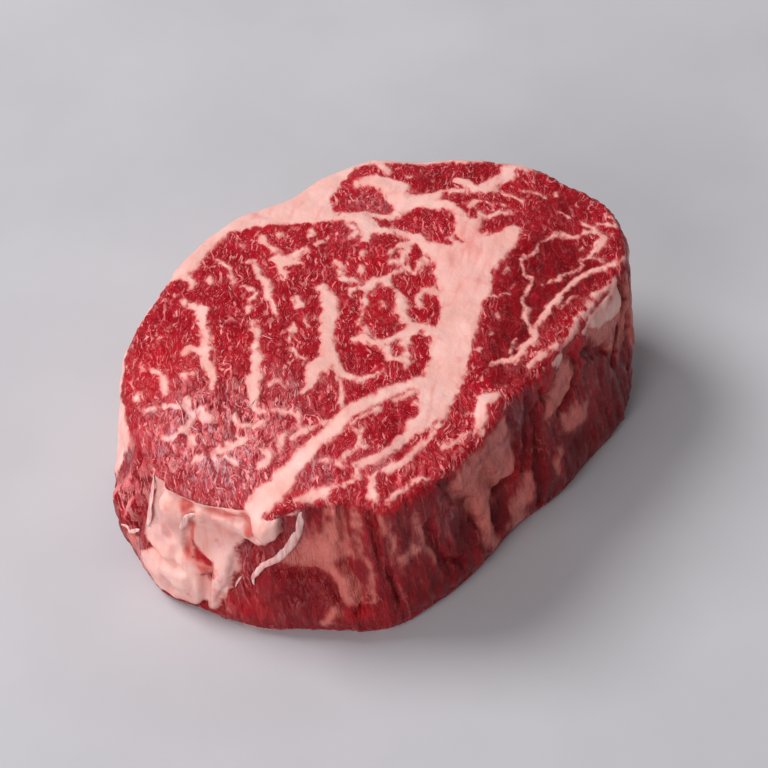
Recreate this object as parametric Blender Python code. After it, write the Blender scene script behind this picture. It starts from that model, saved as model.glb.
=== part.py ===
"""A raw beef ribeye steak, boneless and cut thick: one closed solid lying on its lower cut face.

Run it with blender --background --python part.py, or from Blender's text editor.
Lengths are in metres. +X runs along the steak towards the cap end, +Z is up, and the origin is at
the middle of the base. The steak is a stack of rings: each ring follows the outline of the upper
cut face, and is moved out or in by the wall's shape at that height.
"""

import math

import bmesh
import bpy
from mathutils import Vector, noise

MM = 0.001

THICKNESS = 45 * MM
RING_POINTS = 150
RIM_STEPS = 12  # steps of the rim's curve between two of its named points
WALL_RINGS = 15
FACE_RINGS = 9
BASE_RINGS = 5

# The wall's rings stand closer together near the base, where it tucks in.
WALL_RING_BUNCHING = 1.15

# The size of rings inside the rim, as shares of it: the outermost ring of the base, two rings that
# round the upper edge, and the outermost of the even rings inside them.
BASE_OUTERMOST = 0.985
ROUND_EDGE_SIZES = [0.992, 0.975]
FACE_OUTERMOST = 0.95

# The upper cut face's rim in millimetres, anticlockwise from the fat end: a smooth closed curve
# runs through these points.
RIM_MM = (
    (-61, -1), (-59, -10), (-57.5, -17), (-53.5, -24), (-48.5, -32), (-43, -39), (-36, -42.5),
    (-26, -44), (-13, -44), (1, -42.5), (15, -42.5), (28, -40.5), (42, -39.5), (52, -36),
    (61, -29), (66.5, -20), (66.5, -8), (64.5, 4), (58, 15.5), (51, 25), (44, 34), (33, 39.5),
    (20, 41.5), (10, 46), (-3, 48), (-18, 45.5), (-31, 42), (-41, 38.5), (-50.5, 31.5),
    (-58, 22.5), (-63, 11), (-63.5, 6),
)

# How the upper cut face stands off the level plane at THICKNESS: a low dome over the eye, a fall
# towards the fat end, and a slight rise towards the cap end.
DOME = 1.6 * MM
DOME_HALF_LENGTH = 70 * MM
DOME_HALF_WIDTH = 50 * MM
FAT_END_FALL = 4.0 * MM
FALL_STARTS_AT = -34 * MM
FALL_LENGTH = 30 * MM
CAP_END_RISE = 1.0 * MM
RISE_STARTS_AT = -20 * MM
RISE_ENDS_AT = 66 * MM

# The wall: it leans out towards the base by FLARE plus what SPREADS adds, and its edges are round.
FLARE = 1.6 * MM
UPPER_EDGE = 2.2 * MM
LOWER_EDGE = 3.5 * MM
LOWER_TUCK = 1.8 * MM
BASE_RISE = 0.35 * MM
RELIEF_STARTS_BY = 8 * MM  # the wall's lumps and hollows reach their full size at this height
SPREAD_POWER = 0.8  # under 1, the spread of the base reaches further up the wall

# Where the weight of the meat spreads the base further: (x, y) on the rim, how far out, and over
# how long a stretch of the rim.
SPREADS = (
    ((36, -40), 4.2 * MM, 24 * MM),
    ((62, -28), 1.2 * MM, 18 * MM),
    ((-61, -1), 2.6 * MM, 16 * MM),
    ((-52, 30), 2.0 * MM, 20 * MM),
    ((-59, -12), 1.3 * MM, 10 * MM),
    ((-34, -43), -1.0 * MM, 10 * MM),
    ((14, -42.5), 0.8 * MM, 12 * MM),
)

# Lumps and hollows of the wall: name, (x, y) on the rim, height, how far out (negative is a
# hollow), the half-length along the rim, and the half-height.
WALL_RELIEF = (
    ("fat roll under the rim", (-60, -4), 33 * MM, 3.0 * MM, 10 * MM, 6 * MM),
    ("round fat lump", (-58, -19), 35 * MM, 2.6 * MM, 5 * MM, 7 * MM),
    ("crease between the fat rolls", (-60, -6), 24 * MM, -1.8 * MM, 9 * MM, 3.5 * MM),
    ("lower fat sheet", (-62, 2), 13 * MM, 1.8 * MM, 14 * MM, 8 * MM),
    ("knob of lean at the fat end", (-57, 24), 13 * MM, 2.0 * MM, 6 * MM, 9 * MM),
    ("hollow over the knob", (-48, 33.5), 27 * MM, -1.2 * MM, 9 * MM, 6 * MM),
    ("hollow behind the sinew", (-53, -26.5), 20 * MM, -3.2 * MM, 4.5 * MM, 11 * MM),
    ("foot of lean beside the sinew", (-51, -29), 6 * MM, 2.0 * MM, 8 * MM, 6 * MM),
    ("rib at the front corner", (-44, -38), 28 * MM, 1.6 * MM, 4 * MM, 16 * MM),
    ("long hollow of the near wall", (-22, -44.5), 22 * MM, -1.8 * MM, 13 * MM, 11 * MM),
    ("step below the near rim", (-26, -44.5), 40 * MM, 1.0 * MM, 12 * MM, 3.5 * MM),
    ("bulge of the near wall", (6, -43.5), 14 * MM, 1.8 * MM, 9 * MM, 12 * MM),
    ("notch in the near wall", (17, -43), 30 * MM, -1.6 * MM, 4 * MM, 12 * MM),
    ("nub below the near rim", (26, -41), 36 * MM, 1.8 * MM, 3.5 * MM, 6 * MM),
    ("flat of the fat triangle", (41, -39.5), 30 * MM, -1.4 * MM, 9 * MM, 12 * MM),
    ("first rib at the cap end", (52, -36), 26 * MM, 1.6 * MM, 3 * MM, 20 * MM),
    ("second rib at the cap end", (60, -30), 24 * MM, 1.0 * MM, 3.5 * MM, 20 * MM),
    ("bulge of the cap end", (66, -6), 20 * MM, 1.4 * MM, 14 * MM, 13 * MM),
    ("groove where the cap meets the fat", (50, 24.5), 24 * MM, -2.0 * MM, 5 * MM, 18 * MM),
    ("bulge of the far wall", (24, 40), 20 * MM, 1.6 * MM, 10 * MM, 12 * MM),
    ("swell of the eye's fat rim", (-6, 47), 22 * MM, 2.0 * MM, 20 * MM, 14 * MM),
    ("groove at the eye's end", (-24, 43), 24 * MM, -1.4 * MM, 4 * MM, 16 * MM),
    ("swell of the far wall's end", (-36, 40), 18 * MM, 1.6 * MM, 9 * MM, 12 * MM),
)

# Relief of the upper cut face: name, (x, y) of its middle, how far up, and its radius.
FACE_RELIEF = (
    ("eye muscle", (-18, 14), 0.9 * MM, 24 * MM),
    ("dip over the fat kernel", (20, -8), -1.0 * MM, 13 * MM),
    ("cap muscle", (40, -20), 0.7 * MM, 12 * MM),
    ("fall of the face at the fat end", (-58, 2), -1.2 * MM, 12 * MM),
    ("small muscle below the eye", (-34, -25), 0.6 * MM, 9 * MM),
)

# The unevenness that a knife and soft flesh leave, on every face but the base.
WOBBLE = 0.55 * MM
WOBBLE_SIZE = 13 * MM
WOBBLE_SEED = 38
WOBBLE_STARTS_AT = 2 * MM
WOBBLE_FULL_AT = 12 * MM

# Wet red lean, the steak's overall colour.
BEEF_COLOUR = (0.45, 0.035, 0.045, 1.0)
BEEF_ROUGHNESS = 0.38


def smooth_step(low, high, value):
    """0 below low, 1 above high, and a smooth rise between them."""
    share = min(1.0, max(0.0, (value - low) / (high - low)))
    return share * share * (3 - 2 * share)


def hump(distance, half_width):
    """A smooth bump: 1 at distance 0, and near 0 past twice half_width."""
    return math.exp(-((distance / half_width) ** 2))


def closed_curve(corners, steps):
    """Points on the Catmull-Rom curve through the corners, steps to each span."""
    count = len(corners)
    curve = []
    for i in range(count):
        before, start, end, after = (corners[(i + k) % count] for k in (-1, 0, 1, 2))
        for step in range(steps):
            t = step / steps
            curve.append(
                0.5 * (
                    2 * start
                    + (end - before) * t
                    + (2 * before - 5 * start + 4 * end - after) * t ** 2
                    + (3 * start - before - 3 * end + after) * t ** 3
                )
            )
    return curve


def evenly_spaced(curve, count):
    """The same number of points at equal distances along a closed curve, and its length."""
    ends = curve[1:] + curve[:1]
    lengths = [(b - a).length for a, b in zip(curve, ends)]
    total = sum(lengths)
    points, walked, i = [], 0.0, 0
    for k in range(count):
        target = total * k / count
        while walked + lengths[i] < target:
            walked += lengths[i]
            i += 1
        points.append(curve[i].lerp(ends[i], (target - walked) / lengths[i]))
    return points, total


def rim_points():
    """The rim as even points, each with its outward direction, and the rim's length."""
    corners = [Vector((x, y)) * MM for x, y in RIM_MM]
    points, length = evenly_spaced(closed_curve(corners, RIM_STEPS), RING_POINTS)
    outward = []
    for i in range(RING_POINTS):
        along = points[(i + 1) % RING_POINTS] - points[i - 1]
        outward.append(Vector((along.y, -along.x)).normalized())
    return points, outward, length


class Wall:
    """The rim, and how far the wall stands off it at each height."""

    def __init__(self):
        self.points, self.outward, self.length = rim_points()
        self.step = self.length / RING_POINTS
        self.spreads = [(self.place(at), out, reach) for at, out, reach in SPREADS]
        self.relief = [
            (self.place(at), height, out, reach, tall)
            for _, at, height, out, reach, tall in WALL_RELIEF
        ]

    def place(self, at_mm):
        """The number of the rim point nearest to a place in the plan."""
        at = Vector(at_mm) * MM
        return min(range(RING_POINTS), key=lambda i: (self.points[i] - at).length)

    def along(self, i, j):
        """The distance along the rim between two of its points."""
        apart = abs(i - j)
        return min(apart, RING_POINTS - apart) * self.step

    def offset(self, i, height):
        """How far outside the rim the wall is, at rim point i and this height."""
        lean = 1 - height / THICKNESS
        out = FLARE * lean
        for place, spread, reach in self.spreads:
            out += spread * hump(self.along(i, place), reach) * lean ** SPREAD_POWER
        clear = smooth_step(0, RELIEF_STARTS_BY, height)
        for place, middle, amount, reach, tall in self.relief:
            out += amount * clear * hump(self.along(i, place), reach) * hump(height - middle, tall)
        tuck = max(0.0, 1 - height / LOWER_EDGE)
        return out - LOWER_TUCK * tuck ** 2


def face_height(x, y):
    """The height of the upper cut face over the base, before the wobble."""
    fall = smooth_step(0, FALL_LENGTH, FALL_STARTS_AT - x)
    rise = smooth_step(RISE_STARTS_AT, RISE_ENDS_AT, x)
    dome = max(0.0, 1 - (x / DOME_HALF_LENGTH) ** 2 - (y / DOME_HALF_WIDTH) ** 2)
    height = THICKNESS + DOME * (dome - 0.5) - FAT_END_FALL * fall + CAP_END_RISE * rise
    for _, at, up, radius in FACE_RELIEF:
        middle = Vector(at) * MM
        height += up * hump((Vector((x, y)) - middle).length, radius)
    return height


def wobbled(point):
    """A point moved by the smooth unevenness of cut flesh. The base stays flat."""
    loose = smooth_step(WOBBLE_STARTS_AT, WOBBLE_FULL_AT, point.z)
    return point + noise.noise_vector(point / WOBBLE_SIZE) * WOBBLE * loose


def wall_ring(wall, share):
    """One ring of the wall. share is 0 at the base and 1 where the round upper edge starts."""
    ring = []
    for i, (rim, out) in enumerate(zip(wall.points, wall.outward)):
        top = face_height(rim.x, rim.y) - UPPER_EDGE
        height = BASE_RISE + (top - BASE_RISE) * share
        plan = rim + out * wall.offset(i, height)
        ring.append(Vector((plan.x, plan.y, height)))
    return ring


def face_ring(wall, size):
    """One ring of the upper cut face: the rim drawn in to this share of its size."""
    ring = []
    for i, (rim, out) in enumerate(zip(wall.points, wall.outward)):
        edge = rim + out * wall.offset(i, THICKNESS)
        plan = edge * size
        drop = 0.0
        inside = edge.length * (1 - size)
        if inside < UPPER_EDGE:
            drop = UPPER_EDGE - math.sqrt(UPPER_EDGE ** 2 - (UPPER_EDGE - inside) ** 2)
        ring.append(Vector((plan.x, plan.y, face_height(plan.x, plan.y) - drop)))
    return ring


def base_ring(first, size):
    """One ring of the flat base, inside the wall's first ring."""
    return [Vector((p.x * size, p.y * size, 0.0)) for p in first]


def steak_rings(wall):
    """Every ring, from the middle of the base, up the wall, to the middle of the cut face."""
    shares = [(k / (WALL_RINGS - 1)) ** WALL_RING_BUNCHING for k in range(WALL_RINGS)]
    walls = [wall_ring(wall, share) for share in shares]
    base_sizes = [BASE_OUTERMOST * (k + 1) / BASE_RINGS for k in range(BASE_RINGS)]
    bases = [base_ring(walls[0], size) for size in base_sizes]
    inner = [FACE_OUTERMOST * (FACE_RINGS - k) / FACE_RINGS for k in range(FACE_RINGS)]
    faces = [face_ring(wall, size) for size in ROUND_EDGE_SIZES + inner]
    return bases + walls + faces


def build_mesh(rings, name):
    """A closed mesh: a band of quads between each two rings, and a fan at each end."""
    shape = bmesh.new()
    rows = [[shape.verts.new(wobbled(p)) for p in ring] for ring in rings]
    for lower, upper in zip(rows, rows[1:]):
        for i in range(RING_POINTS):
            j = (i + 1) % RING_POINTS
            shape.faces.new((lower[i], lower[j], upper[j], upper[i]))
    for row in (rows[0], rows[-1]):
        middle = sum((v.co for v in row), Vector()) / RING_POINTS
        hub = shape.verts.new(middle)
        for i in range(RING_POINTS):
            shape.faces.new((row[i], row[(i + 1) % RING_POINTS], hub))
    bmesh.ops.recalc_face_normals(shape, faces=shape.faces)
    mesh = bpy.data.meshes.new(name)
    shape.to_mesh(mesh)
    shape.free()
    mesh.shade_smooth()
    return mesh


def raw_beef():
    material = bpy.data.materials.new("raw_beef")
    material.use_nodes = True
    shader = material.node_tree.nodes["Principled BSDF"]
    shader.inputs["Base Color"].default_value = BEEF_COLOUR
    shader.inputs["Roughness"].default_value = BEEF_ROUGHNESS
    return material


def centred(obj):
    """Moves the mesh so that the middle of its box's base is the origin."""
    low = Vector(min(v.co[k] for v in obj.data.vertices) for k in range(3))
    high = Vector(max(v.co[k] for v in obj.data.vertices) for k in range(3))
    middle = (low + high) / 2
    for vertex in obj.data.vertices:
        vertex.co -= Vector((middle.x, middle.y, low.z))


def main():
    for old in list(bpy.data.objects):
        bpy.data.objects.remove(old)
    noise.seed_set(WOBBLE_SEED)
    mesh = build_mesh(steak_rings(Wall()), "steak")
    mesh.materials.append(raw_beef())
    steak = bpy.data.objects.new("steak", mesh)
    bpy.context.scene.collection.objects.link(steak)
    centred(steak)


main()
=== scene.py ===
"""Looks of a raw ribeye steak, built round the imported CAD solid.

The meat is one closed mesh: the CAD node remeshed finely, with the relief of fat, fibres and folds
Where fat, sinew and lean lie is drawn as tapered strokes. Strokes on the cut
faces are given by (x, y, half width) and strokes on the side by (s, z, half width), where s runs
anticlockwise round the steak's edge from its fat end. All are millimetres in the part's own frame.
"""

import math

import bpy
import numpy as np
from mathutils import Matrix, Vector
from mathutils.bvhtree import BVHTree


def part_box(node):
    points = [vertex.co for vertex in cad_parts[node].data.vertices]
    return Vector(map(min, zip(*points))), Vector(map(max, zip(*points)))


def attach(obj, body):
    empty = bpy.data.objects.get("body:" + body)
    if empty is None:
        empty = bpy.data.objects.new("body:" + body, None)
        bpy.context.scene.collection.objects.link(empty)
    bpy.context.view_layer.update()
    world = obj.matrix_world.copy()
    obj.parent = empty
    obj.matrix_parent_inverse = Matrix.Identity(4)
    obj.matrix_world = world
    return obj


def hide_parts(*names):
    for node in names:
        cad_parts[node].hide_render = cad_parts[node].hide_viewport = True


MM = 0.001
SEED = 7

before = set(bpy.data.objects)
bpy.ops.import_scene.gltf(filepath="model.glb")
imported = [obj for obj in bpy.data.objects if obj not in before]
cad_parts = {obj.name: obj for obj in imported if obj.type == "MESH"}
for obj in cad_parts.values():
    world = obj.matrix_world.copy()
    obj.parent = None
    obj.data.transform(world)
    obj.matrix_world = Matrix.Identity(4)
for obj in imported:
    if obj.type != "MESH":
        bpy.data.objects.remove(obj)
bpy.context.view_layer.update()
steak_low, steak_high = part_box("steak")
TOP_MM = steak_high.z / MM

# --------------------------------------------------------------------------------------------------
# Where the fat lies on the cut faces: (x, y, half width)
# --------------------------------------------------------------------------------------------------

FAT_MASSES = {
    "far rim": [(-21, 42.6, 0.8), (-16, 41.9, 2.2), (-10, 43.3, 2.8), (-4, 44.4, 3.1), (2, 44.2, 3.6),
        (7, 42.2, 3.8), (12, 39.6, 4.5), (16.5, 36.3, 5.4), (19.5, 32, 5.5)],
    "far field": [(19.5, 32, 5.5), (23.5, 34.5, 5.0), (28, 34.8, 4.0), (32, 34.5, 2.9), (36, 34, 1.9),
        (40, 33, 1.3)],
    "channel beside the eye": [(17.8, 28.5, 2.6), (20.6, 24.6, 1.5), (22.3, 21, 2.2), (22.2, 17, 2.3),
        (22.6, 14, 1.8), (24.3, 11, 0.9), (25, 8, 0.8), (25.8, 5, 1.2), (25.4, 2, 1.9), (25, -2, 3)],
    "kernel": [(42, -12.4, 1.9), (38, -12, 3.2), (33, -9.5, 6.3), (25.5, -9.5, 7.0), (19.3, -14, 5.8),
        (10.4, -19.6, 4.5), (2.7, -23.7, 4.5), (-5.5, -27.7, 4.1), (-12, -30.2, 4.4), (-18, -32.7, 2.5),
        (-25, -32.5, 1.5), (-30, -32.6, 1.2), (-34.5, -31.5, 1.1), (-38, -30.8, 0.9), (-42, -30.6, 0.5)],
    "kernel shoulder": [(26, -2, 3.2), (30, -6, 3), (34.5, -4.3, 3.4), (39.5, -3.4, 0.8)],
    "horn": [(35.8, -3, 2.4), (37.7, 0, 1.4), (39.4, 3, 1.1), (39.6, 6, 1.5), (38.2, 9.5, 2.1),
        (36.3, 12.3, 2.3), (33.8, 14.6, 2.3), (35.6, 17.8, 2.9), (37.2, 21, 2.6), (36.6, 24.8, 2.4),
        (34.8, 27.3, 1.3)],
    "horn tip": [(32.5, 28.5, 0.8), (34.8, 29.0, 0.6)],
    "horn's left arm": [(33, 15, 1.6), (29.6, 13.9, 0.8), (27.3, 15.5, 0.6), (25.8, 18.5, 0.8),
        (25, 20, 0.6)],
    "right band": [(39, 11.3, 1.53), (42.5, 9.6, 0.81), (44.8, 7.3, 0.72), (46.8, 5, 0.9),
        (49.5, 3.2, 1.71), (53, 2.3, 1.53), (57, 1.8, 1.71), (60.5, 2.3, 1.71), (63, 1, 1.71),
        (63, -2, 1.17)],
    "right band's arm": [(48.3, 9.6, 0.9), (49, 7.3, 1.3), (49, 5, 1.5)],
    "right edge": [(41.3, 31.6, 1.36), (44, 28.8, 1.61), (47.3, 25.3, 1.27), (50, 21.6, 1.36),
        (52.6, 18, 1.27), (55.6, 13.9, 1.19), (58.6, 9.8, 0.94), (61.3, 5.5, 1.02)],
    "right edge's inside": [(42, 27.8, 1.1), (41.4, 25.4, 0.6)],
    "white seam": [(-60, -16.5, 2.6), (-55.5, -18, 2.9), (-50, -18, 2.2), (-45, -18, 1.9),
        (-41, -18.4, 1.8), (-36, -19.1, 1.4), (-31, -18.6, 2.0), (-27, -19.3, 1.5), (-22, -20.9, 1.5),
        (-17, -22.4, 1.5), (-13.5, -24.3, 1.4), (-10, -26.5, 2.0)],
    "below the small muscle": [(-53, -24.3, 0.84), (-50.5, -26.5, 0.84), (-48, -28.6, 0.7),
        (-44, -30.4, 0.49), (-41, -31.7, 0.35)],
    "lower seam": [(-41, -34, 0.42), (-38.5, -34.2, 0.49), (-36, -35.8, 0.7), (-33.5, -36.6, 0.49),
        (-30, -36.9, 0.35), (-26.5, -37, 0.56), (-23, -36.5, 0.42), (-19, -35.9, 0.56), (-15, -35, 0.56)],
    "corner field": [(-44.5, -37.9, 0.49), (-43.3, -36.5, 1.19), (-41, -34.2, 0.63)],
    "near edge strip": [(-43, -40.6, 0.3), (-39.5, -40.9, 0.42), (-36, -42, 0.54), (-33, -43.3, 0.36)],
    "short strip": [(-24, -41.2, 0.3), (-21.5, -41.9, 0.36), (-18, -42.3, 0.24), (-15.5, -43, 0.3)],
    "tab": [(-14.5, -43.8, 0.8), (-12, -42.3, 1.04), (-9.5, -40.8, 1.44), (-7.3, -40.1, 1.6),
        (-5, -40.8, 1.04)],
    "seam under the cap": [(3, -34.7, 0.35), (5, -35.7, 0.63), (7, -37, 0.7), (11, -37.1, 0.77),
        (16, -36.8, 0.84), (20, -35.7, 0.77), (24, -34.4, 0.77), (29, -33.6, 0.7), (34, -33.4, 0.7),
        (38, -33.4, 0.77), (42, -34.6, 0.7), (45.5, -36.4, 0.7), (49, -37.4, 0.63), (52, -37.6, 0.42)],
    "near rim": [(8.5, -41.2, 0.5), (11.5, -41.2, 0.68), (14.5, -41.9, 0.56), (17.5, -42.7, 0.56),
        (20.5, -43, 0.5), (23, -41.7, 0.5), (26, -41.2, 0.56), (29.5, -41.1, 0.43), (33, -40.3, 0.56),
        (37, -39.7, 0.56), (41, -39.7, 0.5), (45, -40, 0.31)],
}

LEAN_ISLANDS = {
    "in the kernel": [(31, -3, 0.9), (31, -5, 0.7)],
    "tooth": [(28, 1, 1.4), (28.7, -1.5, 1.0), (29, -2.8, 0.4)],
    "step": [(31, 1, 1.2), (33.5, 0, 0.9), (35.3, -0.7, 0.4)],
    "right of the kernel": [(37.2, -6.5, 0.8), (39.5, -6.5, 1.7), (42, -6.8, 1.7), (40, -8.7, 1.1),
        (38, -8.3, 0.7)],
    "by the horn": [(39.2, 0.3, 0.4), (39.9, -1.3, 1.4)],
    "far arc": [(21.3, 24.8, 0.5), (24, 25.6, 1.0), (26.5, 27.5, 1.8), (29, 28, 1.8), (31, 29.9, 0.9),
        (34.5, 30.7, 0.7), (37.5, 30.8, 1.2), (39.3, 28.6, 1.2), (39.8, 26, 1.0), (40.5, 23.5, 0.9),
        (40.8, 20.5, 0.9)],
    "small muscle's crack": [(-50, -21.8, 0.3), (-48.5, -20.8, 0.5), (-47.3, -20, 0.3)],
    "eye's corner": [(15, -8, 0.9), (15.2, -9.2, 0.5)],
}

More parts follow.
